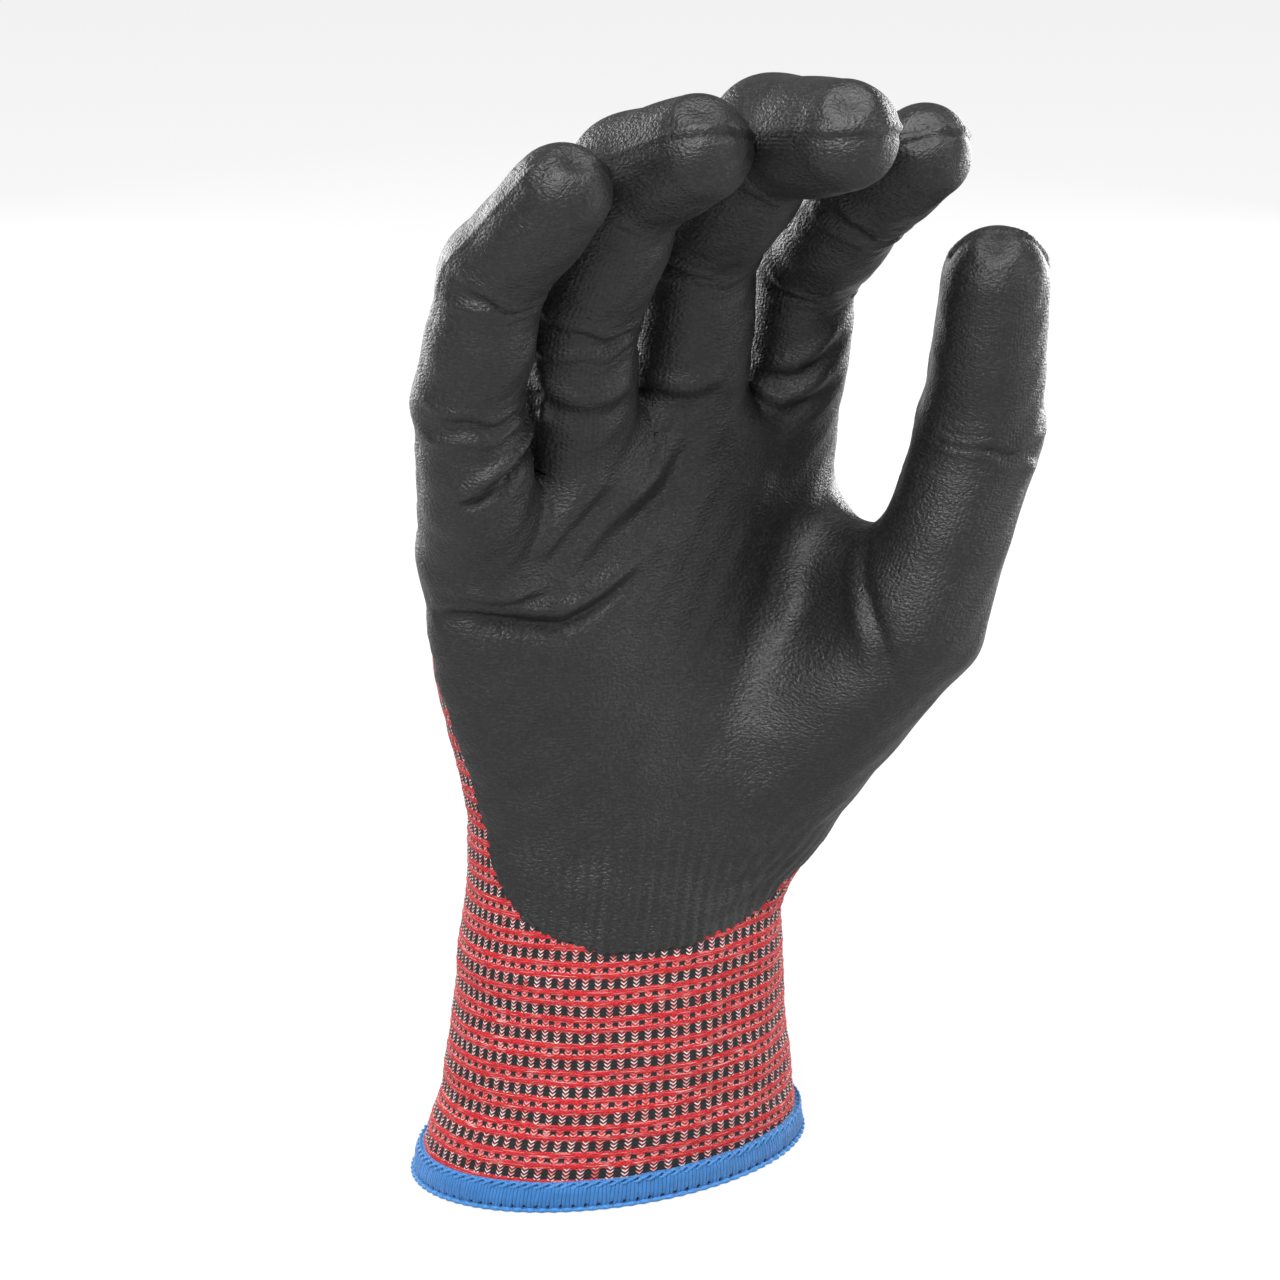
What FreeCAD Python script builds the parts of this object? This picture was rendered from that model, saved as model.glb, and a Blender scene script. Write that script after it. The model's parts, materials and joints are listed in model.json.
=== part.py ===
import FreeCAD, Part

import math
import os

from FreeCAD import Placement, Rotation, Vector

# A right-hand seamless knitted work glove with a dipped palm, in the loosely curled shape it has on a hand.
# The hem lies flat on Z = 0, the origin is the middle of the hand opening, +Z runs from the hem to the
# fingers, the palm faces -Y and the thumb is on the +X side.

# Layers, counted inwards from the outer surface of the dipped coating.
LAYERS = {
    "coat_out": "",
    "coat_in": " - Sizes.coat_thickness",
    "knit_out": " - Sizes.coat_thickness - Sizes.skin_gap",
    "knit_in": " - Sizes.coat_thickness - Sizes.skin_gap - Sizes.knit_thickness",
}

GENERAL = {
    "knit_thickness": 1.2,
    "coat_thickness": 0.6,
    "skin_gap": 0.05,
    "fold_gap": 0.35,
    "thumb_fold_gap": 1.8,
    "knuckle_gap": 0.7,
    "crease_gap": 0.15,
    "stub": 20,
    "cutter_radius": 36,
    "cutter_depth": 44,
    "thumb_cutter_radius": 23,
    "palm_reach": 15.5,
    "palm_side": 30,
    "coat_wrap": 3,
    "thumb_coat_turn": 55,
    "palm_wrap": 5,
    "binding_wall": 1.1,
    "chain_width": 0.7,
    "chain_low": 4.9,
    "chain_high": 5.7,
    "elastic_first": 14,
    "elastic_pitch": 5.2,
    "elastic_height": 0.8,
    "elastic_width": 0.5,
    "elastic_count": 7,
    "thenar_start": 19,
    "thenar_radius": 15,
}

# Cross-sections of the cuff and palm: middle x, y, height z, half width, half depth, turn about Z.
SECTIONS = {
    "hem": (0, 0, 0, 42, 27, 0),
    "edge": (0.1, 0, 2, 40.8, 25.8, 0),
    "rim": (0.4, 0, 6, 40.6, 25.8, 0),
    "flare": (2, 0, 16, 36.6, 25, 0),
    "waist": (3.5, 0, 45, 34.2, 23.5, 0),
    "wrist_low": (4.5, 0, 51, 33.8, 23, 0),
    "wrist_high": (6.5, 0, 73, 35, 21.5, 3),
    "heel": (7, -0.5, 86, 39, 19.5, 4.5),
    "palm": (6, -1, 100, 43, 18, 6),
    "upper": (4.5, -2.5, 120, 45.5, 16, 8),
    "knuckles": (4, -3.5, 148, 46, 14, 9),
}

# Each digit: its first joint (x, y, z), how far its bending axis is turned about Z from +X, and its
# segments: length, pitch from +Z towards -Y, lean towards +X, radius at the start, and how far the
# segment folds in from the shape the glove is in.
DIGITS = {
    "little": {
        "start": (-31.5, -10.5, 133),
        "turn": 0,
        "base": (34, 18, -11, 10.5, 58),
        "middle": (27, 22, 2, 10.1, 70),
        "tip": (23, 43, 16, 9.6, 42),
        "end_radius": 8.8,
    },
    "ring": {
        "start": (-10, -3, 139.5),
        "turn": 0,
        "base": (44, 23.5, -7.5, 10.9, 58),
        "middle": (29, 27, 8.5, 10.4, 68),
        "tip": (19, 66, 16, 9.8, 41),
        "end_radius": 9.2,
    },
    "long": {
        "start": (13.5, -2, 145.5),
        "turn": 0,
        "base": (47, 19.5, -4, 11, 56),
        "middle": (31, 45.5, 6, 10.8, 62),
        "tip": (21, 81, 9.5, 10.2, 38),
        "end_radius": 9.7,
    },
    "index": {
        "start": (38.5, 2, 142.5),
        "turn": 0,
        "base": (41.5, 22, -0.5, 11, 42),
        "middle": (26, 48.5, 3, 10.6, 50),
        "tip": (16, 57, 8.5, 10, 30),
        "end_radius": 9.3,
    },
    "thumb": {
        "start": (30.5, -8, 78.5),
        "turn": -93,
        "root": (45.5, 36, 29, 17, 0),
        "base": (40.5, 3, 12.5, 14.5, 8),
        "tip": (30.5, 12, -1.5, 12.4, 45),
        "end_radius": 10.6,
    },
}
FINGERS = ("little", "ring", "long", "index")

doc = FreeCAD.newDocument("glove")
sheet = doc.addObject("Spreadsheet::Sheet", "Sizes")
parts = []


def fill_sheet():
    """Writes every driving dimension into the sheet, one alias to a row."""
    cells = dict(GENERAL)
    for name, values in SECTIONS.items():
        for key, value in zip(("x", "y", "z", "half_width", "half_depth", "turn"), values):
            cells[f"{name}_{key}"] = value
    for digit, facts in DIGITS.items():
        for key, value in zip("xyz", facts["start"]):
            cells[f"{digit}_{key}"] = value
        cells[f"{digit}_turn"] = facts["turn"]
        for segment in segments(digit):
            for key, value in zip(("length", "pitch", "lean", "radius", "fold"), facts[segment]):
                cells[f"{digit}_{segment}_{key}"] = value
        cells[f"{digit}_end_radius"] = facts["end_radius"]
    for row, (alias, value) in enumerate(cells.items(), start=1):
        sheet.set(f"A{row}", alias)
        sheet.set(f"B{row}", str(value))
        sheet.setAlias(f"B{row}", alias)
    doc.recompute()


def segments(digit):
    return ("root", "base", "tip") if digit == "thumb" else ("base", "middle", "tip")


def size(alias):
    return float(sheet.get(alias))


def direction(digit, segment):
    """The unit vector along a segment, from its start to its end."""
    pitch = math.radians(size(f"{digit}_{segment}_pitch"))
    lean = math.radians(size(f"{digit}_{segment}_lean"))
    flat = math.cos(lean)
    return Vector(math.sin(lean), -math.sin(pitch) * flat, math.cos(pitch) * flat)


def start_point(digit, segment):
    """Where a segment starts: the digit's first joint, plus the segments before this one."""
    point = Vector(*(size(f"{digit}_{key}") for key in "xyz"))
    for name in segments(digit):
        if name == segment:
            return point
        point = point + direction(digit, name) * size(f"{digit}_{name}_length")
    return point


def bending_axis(digit, along):
    """The axis that a fold turns about: a positive turn closes the digit."""
    turn = math.radians(size(f"{digit}_turn"))
    side = Vector(math.cos(turn), math.sin(turn), 0)
    return (side - along * side.dot(along)).normalize()


def joint_axis(digit, segment, before):
    """The bending axis at a segment's start, square to the mean of the two segments that meet there."""
    along = direction(digit, segment)
    if before is not None:
        along = (along + before).normalize()
    return bending_axis(digit, along)


def frame_at(point, along, side=Vector(1, 0, 0)):
    """A placement at a point with its Z axis along a direction and its X axis near to side."""
    return Placement(point, Rotation(side, Vector(), along, "ZXY"))


def bind(obj, **expressions):
    for prop, expression in expressions.items():
        obj.setExpression(prop, expression)
    return obj


def primitive(kind, name, placement, **expressions):
    obj = bind(doc.addObject(f"Part::{kind}", name), **expressions)
    obj.Placement = placement
    return obj


def combine(kind, name, *objects):
    """A boolean: Cut takes its second object away from the first, MultiFuse joins them all."""
    obj = doc.addObject(f"Part::{kind}", name)
    if kind == "MultiFuse":
        obj.Shapes = list(objects)
        return obj
    obj.Base, obj.Tool = objects
    return obj


def cut_all(name, base, tools):
    for number, tool in enumerate(tools, start=1):
        base = combine("Cut", f"{name}_cut_{number}", base, tool)
    return base


def keep(obj, label):
    """Names a finished sub-part: its Label is its node and its file."""
    obj.Label = label
    parts.append(obj)
    return obj


def fold_slope(fold):
    """How steeply an end is cut back towards the closing side, for a joint that closes by fold."""
    return math.tan(math.radians(fold) / 2)


def closed_bend(digit, segment, before):
    """The whole bend at a segment's start when it is folded in as far as it goes."""
    along = direction(digit, segment)
    return math.degrees(before.getAngle(along)) + size(f"{digit}_{segment}_fold")


def cutting_plane(joint, along, closing, radius, slope, gap):
    """Centre and outward normal of the slanted plane that ends a tube at a joint.

    The tube reaches the joint on its outer side, less the gap, and stops short of it on the closing
    side, so that two tubes cut alike meet face to face when the joint is fully closed.
    """
    centre = joint - along * (gap + radius * slope / 2)
    return centre, (along * 2 + closing * slope).normalize()


def cutter(name, plane, side, radius="Sizes.cutter_radius"):
    """A cylinder that takes away everything beyond a plane, near its centre."""
    centre, normal = plane
    return primitive(
        "Cylinder", name, frame_at(centre, normal, side), Radius=radius, Height="Sizes.cutter_depth"
    )


def joint_planes(digit, segment, before, extra=0.0):
    """The two planes that bound a joint: the end of what is before it and the start of its segment."""
    joint = start_point(digit, segment)
    along = direction(digit, segment)
    axis = joint_axis(digit, segment, before)
    slope = fold_slope(closed_bend(digit, segment, before))
    radius = size(f"{digit}_{segment}_radius")
    root = digit == "thumb" and segment == "base"
    gap = size("thumb_fold_gap" if root else "fold_gap") - extra
    end = cutting_plane(joint, before, axis.cross(before).normalize(), radius, slope, gap)
    start = cutting_plane(joint, -along, axis.cross(along).normalize(), radius, slope, gap)
    return axis, end, start


def tube_solid(digit, segment, layer, closed):
    """The solid inside one layer of a segment: a cone, with a dome on the last segment."""
    names = segments(digit)
    place = names.index(segment)
    far = "end_radius" if place == len(names) - 1 else f"{names[place + 1]}_radius"
    point = start_point(digit, segment)
    along = direction(digit, segment)
    name = f"{digit}_{segment}_{layer}"
    cone = primitive(
        "Cone",
        f"{name}_cone",
        frame_at(point, along),
        Radius1=f"Sizes.{digit}_{segment}_radius{LAYERS[layer]}",
        Radius2=f"Sizes.{digit}_{far}{LAYERS[layer]}",
        Height=f"Sizes.{digit}_{segment}_length",
    )
    if not closed:
        return cone
    middle = point + along * size(f"{digit}_{segment}_length")
    dome = primitive(
        "Sphere", f"{name}_dome", frame_at(middle, along), Radius=f"Sizes.{digit}_end_radius{LAYERS[layer]}"
    )
    return combine("MultiFuse", f"{name}_solid", cone, dome)


def back_cutter(name, digit, segment):
    """Takes the coating off the back of a segment, leaving the closing side and both flanks."""
    along = direction(digit, segment)
    axis = joint_axis(digit, segment, None)
    back = -axis.cross(along).normalize()
    if digit == "thumb":
        back = FreeCAD.Rotation(along, size("thumb_coat_turn")).multVec(back)
        axis = along.cross(back)
    centre = start_point(digit, segment) + along * size(f"{digit}_{segment}_length") / 2
    return cutter(name, (centre + back * size("coat_wrap"), back), axis)


def make_segment(digit, segment, before, after):
    """A segment's knitted tube and the dipped coating on it. before and after are its neighbours."""
    closed = after is None
    ends = []
    if before is not None:
        axis, _, start = joint_planes(digit, segment, before)
        ends.append((start, axis))
    if not closed:
        axis, end, _ = joint_planes(digit, after, direction(digit, segment))
        ends.append((end, axis))
    for piece, outer, inner in (("knit", "knit_out", "knit_in"), ("coating", "coat_out", "coat_in")):
        name = f"{digit}_{segment}_{piece}"
        shell = combine(
            "Cut",
            f"{name}_shell",
            tube_solid(digit, segment, outer, closed),
            tube_solid(digit, segment, inner, closed),
        )
        tools = [cutter(f"{name}_end_{n}", plane, axis) for n, (plane, axis) in enumerate(ends, start=1)]
        if piece == "coating" and not closed:
            tools.append(back_cutter(f"{name}_back", digit, segment))
        keep(cut_all(name, shell, tools), name)


def make_crease(digit, segment, before, label):
    """The stretch of knit that folds at a joint: a bent tube between the two rigid segments."""
    joint = start_point(digit, segment)
    along = direction(digit, segment)
    axis, end, start = joint_planes(digit, segment, before, size("crease_gap"))
    if segment == "base" and digit in FINGERS:
        end = palm_plane(digit, size("crease_gap"))
    solids = []
    for layer in ("knit_out", "knit_in"):
        radius = f"Sizes.{digit}_{segment}_radius{LAYERS[layer]}"
        name = f"{label}_{layer}"
        solids.append(
            combine(
                "MultiFuse",
                name,
                primitive("Cylinder", f"{name}_near", frame_at(joint, -before), Radius=radius, Height="Sizes.stub"),
                primitive("Sphere", f"{name}_ball", frame_at(joint, along), Radius=radius),
                primitive("Cylinder", f"{name}_far", frame_at(joint, along), Radius=radius, Height="Sizes.stub"),
            )
        )
    shell = combine("Cut", f"{label}_shell", *solids)
    tools = [
        cutter(f"{label}_near_cutter", (end[0], -end[1]), axis),
        cutter(f"{label}_far_cutter", (start[0], -start[1]), axis),
    ]
    keep(cut_all(label, shell, tools), label)


def palm_plane(digit, extra=0.0):
    """The slanted plane where the palm ends under one finger."""
    joint = start_point(digit, "base")
    up = Vector(0, 0, 1)
    slope = fold_slope(closed_bend(digit, "base", up))
    gap = size("knuckle_gap") - extra
    return cutting_plane(joint, up, Vector(0, -1, 0), size("palm_reach"), slope, gap)


def palm_end_cutter(name, number):
    """A block that ends the palm under one finger, as wide as that finger's share of the palm."""
    digit = FINGERS[number]
    left = f"(Sizes.{FINGERS[number - 1]}_x + Sizes.{digit}_x) / 2"
    right = f"(Sizes.{digit}_x + Sizes.{FINGERS[(number + 1) % len(FINGERS)]}_x) / 2"
    if number == 0:
        left = f"Sizes.{digit}_x - Sizes.palm_side"
    if number == len(FINGERS) - 1:
        right = f"Sizes.{digit}_x + Sizes.palm_side"
    centre, normal = palm_plane(digit)
    block = bind(
        doc.addObject("Part::Box", name),
        Length=f"{right} - ({left})",
        Width="2 * Sizes.cutter_radius",
        Height="Sizes.cutter_depth",
    )
    near = size(f"{digit}_x") - size("palm_side")
    if number:
        near = (size(f"{FINGERS[number - 1]}_x") + size(f"{digit}_x")) / 2
    across = normal.cross(Vector(1, 0, 0))
    corner = centre - across * size("cutter_radius")
    corner.x = near
    block.Placement = frame_at(corner, normal)
    return block


def section(name, key, layer, shift=0.0):
    """An ellipse round the cuff or palm at one of the sections, at one layer."""
    centre = Vector(size(f"{key}_x"), size(f"{key}_y"), size(f"{key}_z") + shift)
    ellipse = bind(
        doc.addObject("Part::Ellipse", f"{name}_{key}"),
        MajorRadius=f"Sizes.{key}_half_width{layer}",
        MinorRadius=f"Sizes.{key}_half_depth{layer}",
    )
    ellipse.Placement = Placement(centre, Rotation(Vector(0, 0, 1), size(f"{key}_turn")))
    return ellipse


def loft(name, keys, layer, shifts=None):
    """A solid through the named sections. shifts moves single sections up or down."""
    shifts = shifts or {}
    obj = doc.addObject("Part::Loft", name)
    obj.Sections = [section(name, key, layer, shifts.get(key, 0.0)) for key in keys]
    obj.Solid = True
    obj.Ruled = True
    return obj


def at_height(below, above, key, height):
    """A section value between two sections, where the straight side passes a height."""
    low, high = size(f"{below}_z"), size(f"{above}_z")
    share = (height - low) / (high - low)
    return size(f"{below}_{key}") * (1 - share) + size(f"{above}_{key}") * share


def ring_wire(height, inset):
    """An ellipse in the cuff wall's shape at a height, inset from its outer surface."""
    order = ("rim", "flare", "waist", "wrist_low")
    above = next(n for n in range(1, len(order)) if height <= size(f"{order[n]}_z"))
    x, y, width, depth = (
        at_height(order[above - 1], order[above], key, height) for key in ("x", "y", "half_width", "half_depth")
    )
    curve = Part.Ellipse(Vector(x, y, height), width - inset, depth - inset)
    return Part.Wire(curve.toShape())


def make_cuff():
    """The ribbed cuff: one knitted tube, whose lower edge is bound and whose top is the wrist fold."""
    keys = ("edge", "rim", "flare", "waist", "wrist_low")
    outer = loft("cuff_outer", keys, "")
    inner = loft("cuff_inner", keys, " - Sizes.knit_thickness")
    keep(combine("Cut", "cuff_rib", outer, inner), "cuff_rib_knit")


def make_binding():
    """The overlock binding round the hem, with the slot that holds the cuff's edge."""
    block = loft("binding_block", ("hem", "rim"), " + Sizes.binding_wall")
    hole = loft("binding_hole", ("hem", "rim"), " - Sizes.knit_thickness - Sizes.binding_wall")
    slot_outer = loft("slot_outer", ("edge", "rim"), " + Sizes.skin_gap")
    slot_inner = loft("slot_inner", ("edge", "rim"), " - Sizes.knit_thickness - Sizes.skin_gap")
    slot = combine("Cut", "binding_slot", slot_outer, slot_inner)
    keep(cut_all("binding", block, [hole, slot]), "hem_binding")


def make_chain():
    """The needle thread that runs round the top of the binding."""
    offset = size("binding_wall") + size("skin_gap")
    rings = []
    for inset in (-offset - size("chain_width"), -offset):
        wires = [hem_wire(size(key), inset) for key in ("chain_low", "chain_high")]
        rings.append(Part.makeLoft(wires, True, True))
    chain = doc.addObject("Part::Feature", "hem_chain")
    chain.Shape = rings[0].cut(rings[1])
    chain.Placement = Placement()
    keep(chain, "hem_chain_thread")


def hem_wire(height, inset):
    """An ellipse round the binding at a height, between the hem and the rim."""
    x, y, width, depth = (at_height("hem", "rim", key, height) for key in ("x", "y", "half_width", "half_depth"))
    return Part.Wire(Part.Ellipse(Vector(x, y, height), width - inset, depth - inset).toShape())


def make_elastic():
    """The rubber-cored threads that lie just inside the cuff knit, as separate rings."""
    inset = size("knit_thickness") + size("skin_gap")
    rings = []
    for number in range(int(size("elastic_count"))):
        low = size("elastic_first") + number * size("elastic_pitch")
        heights = (low, low + size("elastic_height"))
        if heights[0] < size("flare_z") < heights[1]:
            heights = (size("flare_z"), size("flare_z") + size("elastic_height"))
        outer = Part.makeLoft([ring_wire(h, inset) for h in heights], True, True)
        inner = Part.makeLoft([ring_wire(h, inset + size("elastic_width")) for h in heights], True, True)
        rings.append(outer.cut(inner))
    elastic = doc.addObject("Part::Feature", "cuff_elastic")
    elastic.Shape = Part.makeCompound(rings)
    elastic.Placement = Placement()
    keep(elastic, "cuff_elastic_threads")


def make_wrist():
    """The fold between the cuff and the palm."""
    gap = size("crease_gap")
    shifts = {"wrist_low": gap, "wrist_high": -gap}
    shells = []
    for name, layer in (("wrist_outer", ""), ("wrist_inner", " - Sizes.knit_thickness")):
        shells.append(loft(name, ("wrist_low", "wrist_high"), layer, shifts))
    keep(combine("Cut", "wrist_fold", *shells), "wrist_crease")


def palm_solid(layer):
    """The solid inside one layer of the palm, with the ball of the thumb."""
    body = loft(f"palm_{layer}_body", ("wrist_high", "heel", "palm", "upper", "knuckles"), LAYERS[layer])
    along = direction("thumb", "root")
    start = start_point("thumb", "root") + along * size("thenar_start")
    ball = primitive(
        "Sphere", f"palm_{layer}_ball", frame_at(start, along), Radius=f"Sizes.thenar_radius{LAYERS[layer]}"
    )
    cone = primitive(
        "Cone",
        f"palm_{layer}_cone",
        frame_at(start, along),
        Radius1=f"Sizes.thenar_radius{LAYERS[layer]}",
        Radius2=f"Sizes.thumb_base_radius{LAYERS[layer]}",
        Height="Sizes.thumb_root_length - Sizes.thenar_start",
    )
    return combine("MultiFuse", f"palm_{layer}_solid", body, ball, cone)


def palm_back_cutter(name):
    """Takes the coating off the back of the hand."""
    turn = math.radians(size("upper_turn"))
    back = Vector(-math.sin(turn), math.cos(turn), 0)
    centre = Vector(size("palm_x"), size("palm_y"), size("palm_z")) + back * size("palm_wrap")
    block = bind(
        doc.addObject("Part::Box", name),
        Length="4 * Sizes.cutter_radius",
        Width="4 * Sizes.cutter_radius",
        Height="Sizes.cutter_depth",
    )
    half = size("cutter_radius") * 2
    side = Vector(math.cos(turn), math.sin(turn), 0)
    corner = centre - side * half - back.cross(side) * half
    block.Placement = frame_at(corner, back, side)
    return block


def make_palm():
    """The palm and back of the hand: a knitted shell, and the coating on its front."""
    axis, end, _ = joint_planes("thumb", "base", direction("thumb", "root"))
    for piece, outer, inner in (("knit", "knit_out", "knit_in"), ("coating", "coat_out", "coat_in")):
        name = f"palm_{piece}"
        shell = combine("Cut", f"{name}_shell", palm_solid(outer), palm_solid(inner))
        tools = [palm_end_cutter(f"{name}_end_{digit}", n) for n, digit in enumerate(FINGERS)]
        tools.append(cutter(f"{name}_thumb_end", end, axis, "Sizes.thumb_cutter_radius"))
        if piece == "coating":
            tools.append(palm_back_cutter(f"{name}_back"))
        keep(cut_all(name, shell, tools), name)


def make_digit(digit):
    """A digit's tubes from the first one that bends, and the crease before each."""
    names = segments(digit)
    before = Vector(0, 0, 1)
    if digit == "thumb":
        before = direction(digit, names[0])
        names = names[1:]
    for number, segment in enumerate(names):
        after = names[number + 1] if number + 1 < len(names) else None
        make_segment(digit, segment, before, after)
        make_crease(digit, segment, before, f"{digit}_{segment}_crease")
        before = direction(digit, segment)


def check_and_write():
    """Stops on anything invalid, then writes one STEP file for each sub-part."""
    doc.recompute()
    for obj in doc.Objects:
        if "Invalid" in obj.State or "Error" in obj.State:
            raise RuntimeError(f"{obj.Name} failed: {obj.State}")
    os.makedirs("parts", exist_ok=True)
    for obj in parts:
        shape = obj.Shape
        if shape.isNull() or not shape.isValid() or not shape.Solids:
            raise RuntimeError(f"{obj.Label} has no valid solid")
        print(f"{obj.Label}: {len(shape.Solids)} solid(s), {shape.Volume:.0f} mm3")
        shape.exportStep(f"parts/{obj.Label}.step")


fill_sheet()
make_cuff()
make_binding()
make_chain()
make_elastic()
make_wrist()
make_palm()
for digit in DIGITS:
    make_digit(digit)
check_and_write()
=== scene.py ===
"""The looks of the cut resistant glove: knitted liner, dipped palm and bound hem, on the CAD frame."""

import json
import math

import bpy
import numpy as np
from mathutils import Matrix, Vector


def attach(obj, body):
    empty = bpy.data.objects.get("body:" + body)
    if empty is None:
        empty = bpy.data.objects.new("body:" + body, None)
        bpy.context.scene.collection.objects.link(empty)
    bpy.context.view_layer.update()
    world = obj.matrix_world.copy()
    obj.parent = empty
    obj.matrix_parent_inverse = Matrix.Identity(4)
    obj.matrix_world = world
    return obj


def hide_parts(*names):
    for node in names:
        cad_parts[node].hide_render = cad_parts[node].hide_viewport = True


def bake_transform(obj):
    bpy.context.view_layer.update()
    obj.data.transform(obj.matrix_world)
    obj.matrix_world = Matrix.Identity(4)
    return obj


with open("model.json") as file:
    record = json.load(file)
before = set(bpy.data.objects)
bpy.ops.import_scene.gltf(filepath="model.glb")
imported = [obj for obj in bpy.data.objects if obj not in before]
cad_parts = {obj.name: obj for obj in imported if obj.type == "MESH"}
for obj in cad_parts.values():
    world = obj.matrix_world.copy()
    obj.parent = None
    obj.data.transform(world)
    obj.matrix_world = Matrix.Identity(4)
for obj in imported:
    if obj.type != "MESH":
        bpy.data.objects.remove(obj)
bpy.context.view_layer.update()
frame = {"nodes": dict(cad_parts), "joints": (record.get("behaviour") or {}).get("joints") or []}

# ---- the hand's shape, in millimetres ----
PER_M = 1000.0
# keeps a length above zero where it divides
TINY = 1e-9
JOINT_AT = {j["name"]: np.array(j["pos_m"]) * PER_M for j in frame["joints"]}
JOINT_AXIS = {j["name"]: np.array(j["axis"]) for j in frame["joints"]}
FINGERS = ("little", "ring", "long", "index")
FIRST_JOINTS = {"thumb": ("thumb_root", "thumb_tip_joint")}
FIRST_JOINTS.update({f: (f"{f}_knuckle", f"{f}_middle_joint", f"{f}_tip_joint") for f in FINGERS})
# radius of each digit's stall at each joint in turn and at its rounded end
RADII = {
    "little": (10.1, 9.0, 8.3, 8.3),
    "ring": (10.8, 10.4, 9.9, 9.2),
    "long": (10.9, 10.4, 9.9, 9.4),
    "index": (9.7, 8.9, 8.9, 8.4),
    "thumb": (16.0, 12.0, 11.1, 9.7),
}
THUMB_BALL = np.array((30.5, -8.0, 78.5))
THUMB_BACK = np.array((0.44, 0.9, 0.0))
# ovals round the cuff and hand: middle x and y, height, half width, half depth, turn in degrees
SECTIONS = np.array(
    (
        (0.1, 0, 0, 40.8, 25.8, 0), (0.4, 0, 6, 40.0, 25.6, 0), (2, 0, 16, 36.6, 25, 0),
        (2.6, 0, 30, 35, 24.2, 0), (2.8, 0, 45, 33.7, 23.5, 0), (3.9, 0, 56, 33.2, 22.8, 1),
        (6.5, 0, 73, 35, 21.5, 3), (7, -0.5, 86, 39, 19.5, 4.5), (6, -1, 100, 43, 18, 6),
        (4.5, -2.5, 120, 45.5, 16, 8), (4, -3.5, 148, 45.5, 13.5, 9), (4, -3.5, 170, 45.5, 13.5, 9),
    )
)
SECTION_STEP = 1.0
TABLE_RANGE = (-20, 190)
SECTION_SOFTNESS = 6.0
# the height of the palm's upper edge between the finger bases, from the little finger's side to the index
PALM_TOP = np.array(
    ((-50, 134), (-33, 140), (-21, 146), (-10, 150), (2, 153), (14, 156), (26, 156), (40, 154), (52, 150))
)
PALM_TOP_ROUND = 7.0
WEB_ROUND = 6.0
THUMB_WEB_ROUND = 16.0
# the web of cloth between the palm and the thumb: two ends, a radius and how softly it joins
WEB_FROM, WEB_TO = np.array((44.0, -6.0, 122.0)), np.array((49.0, -28.0, 118.0))
WEB_RADIUS, WEB_SOFT = 6.0, 13.0
# the ring and long fingers part a little above the palm's own edge: a ball of cloth fills the gap there
CROTCH, CROTCH_RADIUS, CROTCH_SOFT = np.array((1.0, -10.5, 154.0)), 4.2, 5.0
FOLD_ROUND = 3.5
# how far each stretch of a stall bulges on the palm side, and how far a finger's bulges all round
PADS = (1.7, 1.1, 0.7)
BULGES = (0.5, 0.8, 0.3)


def section_tables():
    """The ovals' sizes at every height in steps, eased so that no section leaves a crease."""
    heights = np.arange(*TABLE_RANGE, SECTION_STEP)
    columns = [np.interp(heights, SECTIONS[:, 2], SECTIONS[:, c]) for c in (0, 1, 3, 4, 5)]
    reach = int(3 * SECTION_SOFTNESS)
    kernel = np.exp(-0.5 * (np.arange(-reach, reach + 1) / SECTION_SOFTNESS) ** 2)
    kernel /= kernel.sum()
    return heights, [np.convolve(np.pad(c, reach, "edge"), kernel, "valid") for c in columns]


TABLE_HEIGHTS, TABLE_COLUMNS = section_tables()


def lengths(v):
    return np.linalg.norm(v, axis=1)


def unit(v):
    return v / np.linalg.norm(v)


def units(v):
    return v / lengths(v)[:, None]


def farthest(node, start):
    """The point of a CAD node that lies farthest from start."""
    points = np.array([v.co for v in frame["nodes"][node].data.vertices]) * PER_M
    return points[np.argmax(lengths(points - start))]


def digit_points(digit):
    """The joints of a digit in order, and the middle of its rounded end."""
    points = [JOINT_AT[j] for j in FIRST_JOINTS[digit]]
    last = points[-1]
    apex = farthest(f"{digit}_tip_coating", last)
    points.append(apex - unit(apex - last) * RADII[digit][-1])
    if digit == "thumb":
        points.insert(0, THUMB_BALL)
    return points


POINTS = {d: digit_points(d) for d in RADII}
# the loose cloth lies a little to one side of the joints
SLACK_TO = {
    "index": ((-1.0, 0.3, 0), (-2.4, 0.7, 0), (-2.4, 0.7, 0), (-1.2, 0.3, 0)),
    "thumb": ((0, 0, 0), (-1.4, 0.6, 2.6), (0.8, -0.3, 0), (0.4, -0.2, -0.3)),
}
for stall, shifts in SLACK_TO.items():
    POINTS[stall] = [p + np.array(s) for p, s in zip(POINTS[stall], shifts)]


ALONGS = {d: [unit(after - before) for before, after in zip(p, p[1:])] for d, p in POINTS.items()}


def digit_back(digit):
    """The direction out of the back of a digit's stall, for each of its segments."""
    backs = []
    for number, along in enumerate(ALONGS[digit]):
        if digit == "thumb":
            back = THUMB_BACK - along * (THUMB_BACK @ along)
        else:
            axis = JOINT_AXIS[FIRST_JOINTS[digit][number]]
            back = -np.cross(axis, along)
        backs.append(unit(back))
    return backs


BACKS = {d: digit_back(d) for d in RADII}


def smin(a, b, k):
    """The smaller of two fields, rounded where they are within k of each other."""
    h = np.maximum(k - np.abs(a - b), 0) / k
    return np.minimum(a, b) - h * h * k / 4


def step(x, low, high):
    """An eased step from 0 at low to 1 at high."""
    t = np.clip((x - low) / (high - low), 0, 1)
    return t * t * (3 - 2 * t)


def from_line(p, start, end):
    """How far along a straight line each point lies, from 0 to 1, and its offset from the line there."""
    along = end - start
    t = np.clip((p - start) @ along / (along @ along), 0, 1)
    return t, p - start - t[:, None] * along


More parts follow.
